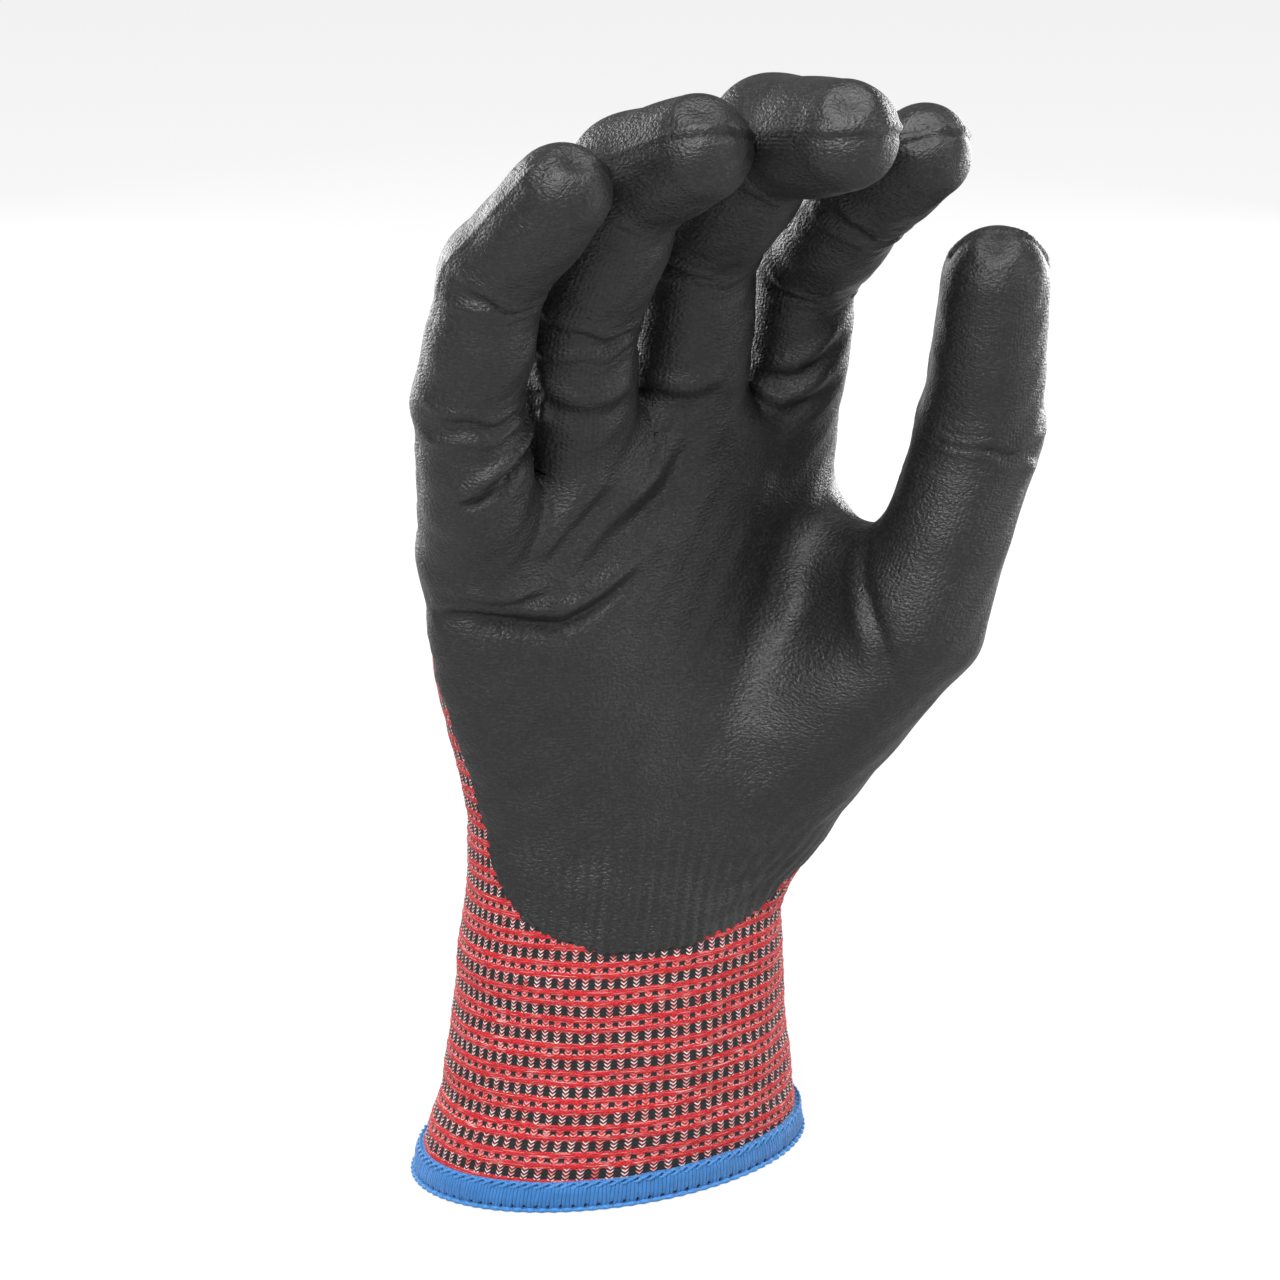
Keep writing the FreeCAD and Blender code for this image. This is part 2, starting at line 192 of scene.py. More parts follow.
def digit_field(p, digit):
    """Distance from a digit's stall, negative inside it."""
    points, radii, backs = POINTS[digit], RADII[digit], BACKS[digit]
    field = None
    for number in range(3):
        t, off = from_line(p, points[number], points[number + 1])
        far = lengths(off) + TINY
        front = np.clip(-(off @ backs[number]) / far, 0, 1)
        radius = radii[number] + (radii[number + 1] - radii[number]) * t
        bulge = PADS[number] * front
        if digit != "thumb":
            bulge = bulge + BULGES[number]
        radius = radius + bulge * np.sin(np.pi * t)
        d = far - radius
        field = d if field is None else smin(field, d, FOLD_ROUND)
    return field


def outline(z):
    """The oval at each height: middle x and y, half width, half depth and turn."""
    return [np.interp(z, TABLE_HEIGHTS, c) for c in TABLE_COLUMNS]


def to_outline(p):
    """A point's offsets from the middle of the oval at its height, and the oval's half width and depth."""
    x0, y0, half_width, half_depth, turn = outline(p[:, 2])
    turn = np.radians(turn)
    dx, dy = p[:, 0] - x0, p[:, 1] - y0
    lx = dx * np.cos(turn) + dy * np.sin(turn)
    ly = -dx * np.sin(turn) + dy * np.cos(turn)
    return lx, ly, half_width, half_depth


def loft_field(p):
    """Distance from the oval tube of the cuff and hand, nearly true close to its surface."""
    lx, ly, half_width, half_depth = to_outline(p)
    near = np.hypot(lx / half_width, ly / half_depth) + TINY
    steep = np.hypot(lx / half_width**2, ly / half_depth**2) + TINY
    return near * (near - 1) / steep


def palm_field(p):
    """The cuff, palm and thumb without any finger: an oval tube closed by a rounded top at their bases."""
    body = loft_field(p)
    top = p[:, 2] - np.interp(p[:, 0], PALM_TOP[:, 0], PALM_TOP[:, 1])
    palm = -smin(-body, -top, PALM_TOP_ROUND)
    palm = smin(palm, digit_field(p, "thumb"), THUMB_WEB_ROUND)
    _, off = from_line(p, WEB_FROM, WEB_TO)
    web = lengths(off) - WEB_RADIUS
    crotch = lengths(p - CROTCH) - CROTCH_RADIUS
    return smin(smin(palm, web, WEB_SOFT), crotch, CROTCH_SOFT)


def hand_field(p):
    """The whole hand: the palm with each finger joined to it, but not one finger to another."""
    palm = palm_field(p)
    return np.min([smin(palm, digit_field(p, digit), WEB_ROUND) for digit in FINGERS], axis=0)

# ---- where the dip ends, and how far along and around the knit each point lies ----
# angle round the wrist from the palm's middle, in degrees, and the height at which the dip starts
DIP_LINE = np.array(
    (
        (-180, 240), (-110, 190), (-100, 150), (-95, 135), (-90, 122), (-86, 112), (-83.5, 103), (-82.5, 90),
        (-81, 76), (-78, 67), (-73.7, 62.5), (-64, 57.2), (-49, 53.7), (-33, 51.9), (-15, 51.2), (0, 51.3),
        (12, 51.8), (38, 52.6), (50, 54.5), (57, 59), (63, 64), (70, 71), (80, 83), (90, 98), (100, 120),
        (108, 150), (118, 190), (180, 240),
    )
)
# the length of a degree round the wrist, and over what distance the stalls' dips mix where they meet
DEGREE, STALL_MIX = 0.7, 1.5
# how far past its middle line towards the back the dip reaches round each stall
STALL_WRAP = {"little": 4.0, "ring": 4.0, "long": 4.0, "index": 3.4, "thumb": 7.0}
# the web beside the thumb, how much further the dip reaches there, and over what distance
WEB_TOP, WEB_COVER, WEB_SPREAD = np.array((46.7, -21.8, 130.0)), 4.0, 8.0
# between these heights the palm's dip line gives way to the stalls' own
WEB_LOW, WEB_HIGH = 124.0, 142.0
# degrees that the thumb's bare back is turned by; where a tip's dip starts, beyond the last joint
THUMB_COAT_TURN, TIP_DIP = 22, -3.0
# wales round the cuff, width of a wale on a stall, and rise of the courses across the cuff
WALES_ROUND_CUFF, WALE, CUFF_TILT = 80, 2.3, 0.03


def stall_root_dip(p):
    """The dip where the stalls leave the hand: each stall's own, mixed by how near it is."""
    total, weights = 0.0, 0.0
    for digit in FINGERS:
        weight = np.exp(-np.clip(digit_field(p, digit), -5, 40) / STALL_MIX)
        total = total + weight * digit_dip(p, digit)
        weights = weights + weight
    return total / weights


def palm_dip(p):
    """How far inside the dipped area a point of the cuff or palm is, in millimetres, negative outside."""
    x0, y0, *_ = outline(p[:, 2])
    angle = np.degrees(np.arctan2(p[:, 0] - x0, y0 - p[:, 1]))
    low = np.interp(angle, DIP_LINE[:, 0], DIP_LINE[:, 1])
    rise = np.abs(np.interp(angle + 1, DIP_LINE[:, 0], DIP_LINE[:, 1]) - low)
    dip = (p[:, 2] - low) / np.hypot(1, rise / DEGREE)
    high = p[:, 2] > WEB_LOW
    if high.any():
        share = step(p[high, 2], WEB_LOW, WEB_HIGH)
        dip[high] = dip[high] * (1 - share) + stall_root_dip(p[high]) * share
    return dip + web_cover(p)


def bell(x, width):
    """A smooth bump of height 1 round zero."""
    return np.exp(-((x / width) ** 2))


def web_cover(p):
    """The dip reaches further over the edge of the web beside the thumb."""
    return WEB_COVER * bell(lengths(p - WEB_TOP), WEB_SPREAD)


def palm_grain(p):
    """Wale number and course height of a point of the cuff or palm."""
    lx, ly, half_width, half_depth = to_outline(p)
    wale = np.arctan2(lx / half_width, -ly / half_depth) * WALES_ROUND_CUFF / (2 * np.pi)
    return wale, p[:, 2] + CUFF_TILT * lx


def along_digit(p, digit):
    """Each point's nearest segment, how far along the digit it is, its offset, and the digit's length."""
    points = POINTS[digit]
    best = np.full(len(p), 1e9)
    number = np.zeros(len(p), int)
    arc = np.zeros(len(p))
    off = np.zeros((len(p), 3))
    before = 0.0
    for n in range(3):
        start, end = points[n], points[n + 1]
        along = end - start
        length = np.linalg.norm(along)
        raw = (p - start) @ along / length**2
        t = np.clip(raw, 0 if n else -2, 1 if n < 2 else 2)
        o = p - start - t[:, None] * along
        d = lengths(p - start - np.clip(raw, 0, 1)[:, None] * along)
        near = d < best
        best[near], number[near], arc[near], off[near] = d[near], n, (before + t * length)[near], o[near]
        before += length
    return number, arc, off, before


def coat_backs(digit):
    """The middle of the undipped back of each segment; the thumb's lies round towards the index finger."""
    if digit != "thumb":
        return BACKS[digit]
    turn = math.radians(THUMB_COAT_TURN)
    pairs = zip(ALONGS[digit], BACKS[digit])
    return [back * math.cos(turn) + np.cross(along, back) * math.sin(turn) for along, back in pairs]


def digit_dip(p, digit):
    """How far inside the dipped area a point of a stall is: on its palm side, or near its tip."""
    number, arc, off, length = along_digit(p, digit)
    back = np.array(coat_backs(digit))[number]
    side = STALL_WRAP[digit] - (off * back).sum(1)
    last = np.linalg.norm(POINTS[digit][3] - POINTS[digit][2])
    tip = arc - (length - last) - TIP_DIP
    return np.maximum(side, tip) + web_cover(p)


def digit_grain(p, digit):
    """Wale number and course height of a point of a stall, meeting the palm's where the stall starts."""
    number, arc, off, _ = along_digit(p, digit)
    backs = np.array(BACKS[digit])[number]
    sides = np.cross(np.array(ALONGS[digit])[number], backs)
    turn = np.arctan2((off * sides).sum(1), (off * backs).sum(1))
    radius = RADII[digit][1]
    count = round(2 * np.pi * radius / WALE)
    base = POINTS[digit][0][None] + BACKS[digit][0] * radius
    wale0, course0 = palm_grain(base)
    return wale0[0] - turn * count / (2 * np.pi), course0[0] + arc, count


# ---- folds, seams and dents ----
# each fold: its line over the cloth, height of the ridge, its width, depth of the valley beside it
FOLDS = (
    (
        ((-41.8, -24, 147.9), (-38.2, -27.2, 151.1), (-32.5, -27.7, 155.2), (-27, -24, 158.5),
         (-22, -20.4, 162.5)),
        1.7, 1.3, 1.5,
    ),
    (((-41.8, -24.0, 148.0), (-38.0, -26.6, 149.1), (-33.3, -27.2, 150.9)), 0.9, 0.9, 0.8),
    (
        ((-24.3, -22.6, 170.9), (-21.8, -23, 165.7), (-17.4, -25.2, 164), (-12.2, -25.6, 164.3),
         (-6.9, -23.6, 166.6)),
        1.2, 2.2, 0.8,
    ),
    (
        ((1.2, -9.7, 165.3), (3.2, -15.5, 163.1), (7.7, -19.3, 162.7), (13.4, -20.7, 164.5)),
        1.2, 2.2, 0.7,
    ),
    (((28.6, -9.4, 162.5), (32.1, -15.4, 163.3), (36, -18.7, 166.8), (39, -19.8, 169.3)), 1.0, 1.5, 1.0),
    (
        ((26.2, -7.2, 156.8), (30.8, -12.3, 155.7), (35.5, -15.5, 158.2), (38.4, -16.9, 161)),
        1.2, 1.7, 1.2,
    ),
    (
        ((-40.6, -9.6, 123.9), (-38.3, -14.9, 124.5), (-34.4, -17.6, 124.3), (-26.7, -18.3, 122.9),
         (-18.8, -19, 121.6), (-10.8, -19.4, 124.5), (-2.2, -18.8, 129.1)),
        1.9, 1.7, 2.0,
    ),
    (
        ((-39.5, -14.9, 128.2), (-34.2, -17, 127.6), (-27.4, -17.8, 126.4), (-21, -18.6, 126.6)),
        1.1, 1.2, 0.8,
    ),
    (((-19.5, -18.9, 129), (-10, -18, 138), (0, -15, 145), (5, -14, 152)), 1.7, 3.0, 1.7),
    (((-24, -18, 133), (-17, -18, 140), (-11, -17, 147)), 1.5, 2.6, 1.4),
    (((8.2, -16, 158), (8.9, -15.5, 152), (8.1, -15, 146)), -0.9, 2.6, 0.0),
    (
        ((44.5, -24, 130), (41.7, -27.8, 125.7), (39.5, -33.4, 119.6), (39.6, -37.5, 112.8),
         (41.5, -39.4, 103.1)),
        -0.9, 1.8, -0.5,
    ),
    (((8, -22.8, 56), (19, -20.7, 60), (30, -17.5, 66)), 0.35, 1.6, 0.35),
    (((10, -22.5, 62), (21, -20.7, 66), (32, -17.5, 72)), 0.35, 1.6, 0.35),
    (((14, -22, 68), (24, -21, 72), (35, -18, 79)), 0.3, 1.6, 0.3),
)
# the dent over each nail: its direction from the middle of the rounded end
NAIL_DENTS = {
    "little": (0.3, -5.5, 6.9),
    "ring": (-1.9, -4.3, 7.9),
    "long": (-2.5, -5.9, 7.4),
    "index": (-4.2, -6.0, 5.7),
    "thumb": (-3.2, -5.4, 8.6),
}
DENT_RADIUS, DENT_DEPTH, RIM_HEIGHT = 2.8, 1.10, 0.18
# the seam over each tip and the valley beside it; its place in radii of the tip, and its run down the stall
SEAM_WIDTH, SEAM_HEIGHT, SEAM_DEPTH = 0.60, 0.42, 0.3
SEAM_AWAY, SEAM_RUN = 0.12, 14
# at a joint: the crease, the cloth that bulges on both sides of it, and the ripples that die away from it
CREASE_DEPTH, CREASE_WIDTH = 0.75, 1.7
BULGE_HEIGHT, BULGE_AWAY, BULGE_WIDTH = 0.30, 3.0, 1.5
RIPPLE_HEIGHT, RIPPLE_PITCH, RIPPLE_REACH = 0.14, 2.9, 6.5
# the ribs that show through the dip above the wrist, and the hollow of the palm
RIB_HEIGHT, RIB_FROM, RIB_TO = 0.16, 84, 62
HOLLOW_DEPTH, HOLLOW_X, HOLLOW_Z, HOLLOW_HALF_WIDTH, HOLLOW_HALF_HEIGHT = 2.0, 8, 118, 17, 20
# a fold shows only on cloth within this distance above or below it
FOLD_REACH = 6.0


def fold_height(p, normals, line, ridge, width, valley):
    """Height of one fold: a ridge along a line and a valley just below it, fading at its ends."""
    line = np.array(line, float)
    parts = lengths(np.diff(line, axis=0))
    total, before = parts.sum(), 0.0
    best = np.full(len(p), 1e9)
    share = np.zeros(len(p))
    across = np.zeros(len(p))
    for a, b, length in zip(line, line[1:], parts):
        along = (b - a) / length
        t = np.clip((p - a) @ along, 0, length)
        off = p - a - t[:, None] * along
        depth = (off * normals).sum(1)
        off = off - normals * depth[:, None]
        d = np.hypot(lengths(off), np.maximum(np.abs(depth) - FOLD_REACH, 0))
        side = np.cross(normals, along)
        near = d < best
        best[near] = d[near]
        share[near] = (before + t[near]) / total
        across[near] = (off * side).sum(1)[near]
        before += length
    ends = np.clip(4 * share * (1 - share), 0, 1) ** 0.7
    close = np.linalg.norm(p[:, None] - line[None], axis=2).min(1) < parts.max() + 5 * width
    s = across / width
    shape = ridge * bell(s, 1) - valley * np.exp(-((s + 1.9) ** 2) / 1.4)
    return np.where(close, shape * ends * bell(np.maximum(best - np.abs(across), 0), width), 0)


def digit_detail(p, digit):
    """Creases at the joints, the seam over the tip and the dent over the nail of one digit."""
    number, arc, off, length = along_digit(p, digit)
    far = lengths(off) + TINY
    behind = (off * np.array(BACKS[digit])[number]).sum(1)
    front = step(-behind / far, -0.1, 0.75)
    near = step(-np.abs(far - RADII[digit][1]), -5, -2.5)
    height = np.zeros(len(p))
    points = POINTS[digit]
    reach = 0.0
    for n in (1, 2):
        reach += np.linalg.norm(points[n] - points[n - 1])
        if digit == "thumb" and n == 1:
            continue
        s = arc - reach
        wavy = s + 0.5 * np.sin(off[:, 0] * 0.7 + n)
        crease = -CREASE_DEPTH * bell(wavy, CREASE_WIDTH)
        beside = BULGE_HEIGHT * bell(np.abs(wavy) - BULGE_AWAY, BULGE_WIDTH)
        ripple = RIPPLE_HEIGHT * np.cos(2 * np.pi * wavy / RIPPLE_PITCH) * bell(s, RIPPLE_REACH)
        height += (crease + beside + ripple) * front * near
    end = points[3]
    out = p - end
    radius = RADII[digit][3]
    dome = step(out @ ALONGS[digit][2], 0.15 * radius, 0.5 * radius)
    plane = (out * BACKS[digit][2]).sum(1) - SEAM_AWAY * radius
    seam = SEAM_HEIGHT * bell(plane, SEAM_WIDTH) - SEAM_DEPTH * bell(plane + 1.4, 0.9)
    height += seam * dome * (lengths(out) < radius * 1.4)
    last = np.linalg.norm(points[3] - points[2])
    side = 0.18 * bell(behind - SEAM_AWAY * radius, 0.5)
    height += side * step(arc, length - last - SEAM_RUN, length - last) * near
    dent = end + unit(np.array(NAIL_DENTS[digit])) * radius
    d = lengths(p - dent) / DENT_RADIUS
    return height - DENT_DEPTH * bell(d, 1) + RIM_HEIGHT * bell(d - 1.5, 0.4)


def cloth_slack(p):
    """The gentle ups and downs of loose cloth, stronger over the cuff."""
    slack = np.sin(p[:, 0] * 0.29 + p[:, 2] * 0.21) * np.sin(p[:, 2] * 0.33 - p[:, 0] * 0.17 + 1)
    slack = slack + 0.5 * np.sin(p[:, 0] * 0.71 - p[:, 2] * 0.53 + p[:, 1] * 0.6)
    cuff = np.sin(p[:, 0] * 0.23 + p[:, 2] * 0.11) * np.sin(p[:, 2] * 0.17 - p[:, 0] * 0.09)
    return 0.16 * slack + 0.35 * cuff * step(p[:, 2], 8, 20) * (1 - step(p[:, 2], 60, 90))


def palm_detail(p, normals):
    """Folds of the palm, the ribs that show through above the dip line, and the slack between them."""
    height = np.zeros(len(p))
    for line, ridge, width, valley in FOLDS:
        height += fold_height(p, normals, line, ridge, width, valley)
    wale, _ = palm_grain(p)
    front = np.clip(-normals[:, 1], 0, 1)
    ribs = RIB_HEIGHT * np.cos(2 * np.pi * wale) * step(-p[:, 2], -RIB_FROM, -RIB_TO)
    away = np.hypot((p[:, 0] - HOLLOW_X) / HOLLOW_HALF_WIDTH, (p[:, 2] - HOLLOW_Z) / HOLLOW_HALF_HEIGHT)
    return height + (ribs - HOLLOW_DEPTH * bell(away, 1)) * front + cloth_slack(p)


# ---- meshing ----
# spacing of the lattice, how near the surface its points are worked out, and how many make a coarse cell
PITCH, BAND, COARSE = 0.7, 3.2, 4
LATTICE_LOW = np.array((-60.0, -80.0, 30.0))


def lattice_field(field, low, high):
    """A field's values on the shared lattice between two corners, worked out only near its surface."""
    first = np.floor((np.array(low) - LATTICE_LOW) / PITCH).astype(int)
    counts = (np.ceil((np.array(high) - np.array(low)) / PITCH / COARSE).astype(int) + 1) * COARSE
    start = LATTICE_LOW + first * PITCH
    axes = [start[k] + np.arange(0, counts[k], COARSE) * PITCH + PITCH * (COARSE - 1) / 2 for k in range(3)]
    coarse_points = np.stack(np.meshgrid(*axes, indexing="ij"), -1).reshape(-1, 3)
    coarse = field(coarse_points).reshape([len(a) for a in axes])
    values = coarse.repeat(COARSE, 0).repeat(COARSE, 1).repeat(COARSE, 2)
    near = np.argwhere(np.abs(values) < BAND)
    values[tuple(near.T)] = in_parts(field, start + near * PITCH)
    return values, start


def in_parts(function, p, size=200000):
    """A function's values at many points, some at a time to spare memory."""
    return np.concatenate([function(p[i : i + size]) for i in range(0, len(p), size)])


def surface_net(values, start):
    """Quads over the zero level of a lattice of values: one corner to each cell that it crosses."""
    shape = np.array(values.shape)
    total = np.zeros((*(shape - 1), 3), np.float32)
    count = np.zeros(shape - 1, np.float32)
    crossings = []
    for axis in range(3):
        first = [slice(None)] * 3
        second = [slice(None)] * 3
        first[axis], second[axis] = slice(0, -1), slice(1, None)
        a, b = values[tuple(first)], values[tuple(second)]
        cross = (a < 0) != (b < 0)
        t = np.where(cross, a / np.where(cross, a - b, 1), 0)
        crossings.append((cross, a < 0))
        others = [k for k in range(3) if k != axis]
        for o1 in (0, 1):
            for o2 in (0, 1):
                part = [slice(None)] * 3
                part[others[0]] = slice(o1, o1 + shape[others[0]] - 1)
                part[others[1]] = slice(o2, o2 + shape[others[1]] - 1)
                c = cross[tuple(part)]
                total[..., axis] += t[tuple(part)]
                total[..., others[0]] += c * o1
                total[..., others[1]] += c * o2
                count += c
    used = count > 0
    index = np.cumsum(used.ravel()).reshape(used.shape) - 1
    cells = np.argwhere(used)
    verts = start + (cells + total[used] / count[used][:, None]) * PITCH
    quads = []
    for axis in range(3):
        cross, inside = crossings[axis]
        others = [k for k in range(3) if k != axis]
        at = np.argwhere(cross)
        keep = (at[:, others] > 0).all(1) & (at[:, others] < shape[others] - 1).all(1)
        at = at[keep]
        corners = []
        for o1, o2 in ((1, 1), (0, 1), (0, 0), (1, 0)):
            cell = at.copy()
            cell[:, others[0]] -= o1
            cell[:, others[1]] -= o2
            corners.append(index[tuple(cell.T)])
        quad = np.stack(corners, 1)
        flip = inside[tuple(at.T)] ^ (axis == 1)
        quad[~flip] = quad[~flip][:, ::-1]
        quads.append(quad)
    return verts, np.concatenate(quads)


def gradient(field, p, reach=0.05):
    """A field's value and slope at each point."""
    here = in_parts(field, p)
    slopes = [(in_parts(field, p + reach * np.eye(3)[k]) - here) / reach for k in range(3)]
    return here, np.stack(slopes, 1)


def settle(field, verts, passes=2):
    """Moves net corners onto the surface itself, and gives the outward directions there."""
    for _ in range(passes):
        here, slope = gradient(field, verts)
        verts = verts - slope * (here / (slope**2).sum(1))[:, None]
    _, slope = gradient(field, verts)
    return verts, units(slope)


def as_triangles(quads):
    return np.concatenate((quads[:, (0, 1, 2)], quads[:, (0, 2, 3)]))


def mesh_normals(verts, tris):
    """The direction out of a mesh at each of its points."""
    a, b, c = (verts[tris[:, k]] for k in range(3))
    face = np.cross(b - a, c - a)
    normals = np.zeros_like(verts)
    for k in range(3):
        for axis in range(3):
            normals[:, axis] += np.bincount(tris[:, k], face[:, axis], len(verts))
    return normals / (np.linalg.norm(normals, axis=1)[:, None] + 1e-12)


def clip(data, tris, level):
    """The part of a triangle mesh where level is positive, cut exactly where it is zero."""
    positive = level[tris] > 0
    number = positive.sum(1)
    count = len(data)
    plans = []
    for wanted in (1, 2):
        for corner in range(3):
            mask = (number == wanted) & (positive[:, corner] == (wanted == 1))
            mask &= positive[:, (corner + 1) % 3] == (wanted == 2)
            plans.append(np.roll(tris[mask], -corner, 1))
    edges = np.concatenate([part[:, (0, n)] for part in plans for n in (1, 2)])
    code = edges.min(1).astype(np.int64) * count + edges.max(1)
    code, place = np.unique(code, return_inverse=True)
    low, high = code // count, code % count
    t = (level[low] / (level[low] - level[high]))[:, None]
    points = data[low] * (1 - t) + data[high] * t
    place = place.ravel() + count
    kept = [tris[number == 3]]
    for n, part in enumerate(plans):
        ab, ac, place = np.split(place, (len(part), 2 * len(part)))
        a, b, c = part.T
        if n < 3:
            kept.append(np.stack((a, ab, ac), 1))
        else:
            kept += [np.stack((ab, b, c), 1), np.stack((ab, c, ac), 1)]
    return drop_unused(np.concatenate((data, points)), np.concatenate(kept))


def drop_unused(data, tris):
    """The same mesh without the points that no triangle uses."""
    used = np.unique(tris)
    index = np.zeros(len(data), int)
    index[used] = np.arange(len(used))
    return data[used], index[tris]


# ---- pieces ----
# the columns of a surface: place, direction, grain, how far inside the dip, and any levels to cut by
POS, NRM, WALE_AT, COURSE_AT, DIP_AT, LEVEL_AT = slice(0, 3), slice(3, 6), 6, 7, 8, 9
# how far the knit reaches under the dip, the dip's clearance and thickness, and how wide its edge thins out
UNDERLAP = 2.5
SKIN_GAP, SKIN, SKIN_EDGE = 0.1, 0.3, 1.6
HAND_START = 92.0
WRIST_LOW, WRIST_HIGH = 51.0, 73.0
WRIST_BEND = np.array(((0, 0, WRIST_LOW), (0, 0, WRIST_HIGH)))
# how far beyond its first joint each stall leaves the palm
STALL_START = {"little": 13.5, "ring": 14.5, "long": 12.5, "index": 17.0}
# the thumb's first bend: its direction, how far beyond the root it starts, and its length
THUMB_PLANE = unit(np.array((0.52, -0.455, 0.72)))
THUMB_START, THUMB_TURN = 2.8, 16.0
# a digit's pieces take the hand's surface up to this far from its stall
OWN_REACH, THUMB_REACH = 4.0, 8.0
# half the length of a later bend, and the room between two bends for the slant of the cut
HALF_FOLD, TILT_ROOM = 6.0, 3.6
# over this length of a stall the palm's grain and dip give way to its own
SHARE_LENGTH = 8
HAND_BOX, BOX_ROOM = ((-50, -62, 44), (82, 32, 200)), 4
materials = {}


def bend_planes(digit):
    """Where each bend of a digit starts and ends, and the cuts between its pieces: a place and a direction.

    The first cut is the end of the first bend."""
    points = POINTS[digit]
    alongs = ALONGS[digit]
    if digit == "thumb":
        start = points[1] + THUMB_PLANE * THUMB_START
        bends = [(start, start + THUMB_PLANE * THUMB_TURN)]
        links = (2,)
    else:
        reach = np.linalg.norm(points[1] - points[0]) - HALF_FOLD - TILT_ROOM
        bends = [(points[0] + alongs[0] * STALL_START[digit], points[0] + alongs[0] * reach)]
        links = (1, 2)
    for n in links:
        bends.append((points[n] - alongs[n - 1] * HALF_FOLD, points[n] + alongs[n] * HALF_FOLD))
    start, end = bends[0]
    cuts = [(end, unit(end - start))]
    if len(links) > 1:
        cuts.append(((bends[1][1] + bends[2][0]) / 2, alongs[1]))
    return bends, cuts


def own_level(p, digit):
    """Positive on the part of the hand's surface that belongs to a digit's moving pieces."""
    reach = THUMB_REACH if digit == "thumb" else OWN_REACH
    return np.minimum(past_start(p, digit), reach - digit_field(p, digit))


def past_start(p, digit):
    """How far beyond the place where its pieces leave the palm a point of a digit is, in millimetres."""
    (start, end), *_ = bend_planes(digit)[0]
    return (p - start) @ unit(end - start)


def hand_dip(p):
    """The palm's dip, and the thumb's where the palm runs into it."""
    dip = palm_dip(p)
    near = step(-digit_field(p, "thumb"), -8, -1) * step(past_start(p, "thumb"), -48, -20)
    return dip + (digit_dip(p, "thumb") - dip) * near


def skin_data(p, normals, digit, tris):
    """The columns of a surface: place, direction, grain, dip and cutting levels, with its details raised."""
    if digit:
        wale, course, _ = digit_grain(p, digit)
        dip = digit_dip(p, digit)
    else:
        wale, course = palm_grain(p)
        dip = hand_dip(p)
    height = palm_detail(p, normals)
    for d in (digit,) if digit else ("thumb",):
        height = height + digit_detail(p, d) * step(-np.abs(digit_field(p, d)), -3.5, -2)
    place = p + normals * height[:, None]
    directions = mesh_normals(place, tris)
    return np.column_stack((place, directions, wale, course, dip))


def rough_edge(data):
    """The dip's edge follows the wales and wanders a little."""
    wale, course = data[:, WALE_AT], data[:, COURSE_AT]
    wander = 0.3 * np.cos(2 * np.pi * wale) + 0.25 * np.sin(wale * 1.3) * np.sin(wale * 0.37 + 1)
    return data[:, DIP_AT] + wander + 0.15 * np.sin(course * 2.1)


def add_mesh(name, verts, faces, material, normals=None, grain=None, period=None):
    """A mesh object from places in millimetres; period is the number of wales round it, where it closes."""
    mesh = bpy.data.meshes.new(name)
    mesh.vertices.add(len(verts))
    mesh.vertices.foreach_set("co", (verts / PER_M).astype(np.float32).ravel())
    size = faces.shape[1]
    mesh.loops.add(len(faces) * size)
    mesh.loops.foreach_set("vertex_index", faces.astype(np.int32).ravel())
    mesh.polygons.add(len(faces))
    mesh.polygons.foreach_set("loop_start", np.arange(0, len(faces) * size, size, dtype=np.int32))
    mesh.polygons.foreach_set("use_smooth", np.ones(len(faces), bool))
    mesh.update(calc_edges=True)
    if grain is not None:
        uv = grain[faces].copy()
        if period:
            low = uv[..., 0].max(1) - uv[..., 0].min(1) > period / 2
            wrap = uv[low, :, 0]
            uv[low, :, 0] = np.where(wrap < wrap.mean(1)[:, None], wrap + period, wrap)
        layer = mesh.uv_layers.new(name="Grain")
        layer.data.foreach_set("uv", uv.reshape(-1, 2).astype(np.float32).ravel())
    if normals is not None:
        mesh.normals_split_custom_set_from_vertices(normals.astype(np.float32).tolist())
    mesh.materials.append(material)
    obj = bpy.data.objects.new(name, mesh)
    bpy.context.scene.collection.objects.link(obj)
    return obj


def add_skin(name, data, tris, kind, bodies, bend=None, period=None, lift=0.0):
    """A piece of the glove's surface that rides on one body; one given a bend is left with its place baked
    in, attached to no body.
    """
    verts = data[:, POS] + data[:, NRM] * np.asarray(lift).reshape(-1, 1)
    material = materials["stall_coating" if kind == "coating" and name != "palm_dip" else kind]
    obj = add_mesh(name, verts, tris, material, data[:, NRM], data[:, [WALE_AT, COURSE_AT]], period)
    if bend is None:
        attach(obj, bodies[0])
    else:
        bend[0] / PER_M
        bend[1] / PER_M
        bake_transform(obj)
    return obj


def under_dip(data, tris):
    """The knit of a stretch of the glove: all that the dip leaves bare, and a strip under the dip's edge."""
    return clip(data, tris, UNDERLAP - rough_edge(data))


def add_dip(name, data, tris, bodies, bend, period, nodes):
    """The dip of a stretch of the glove: a skin of its own over the knit, thin along its edge."""
    level = rough_edge(data)
    dip, dip_tris = clip(np.column_stack((data, level)), tris, level)
    lift = SKIN_GAP + SKIN * step(dip[:, -1], 0, SKIN_EDGE)
    piece = add_skin(name, dip, dip_tris, "coating", bodies, bend, period, lift)
    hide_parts(*nodes)


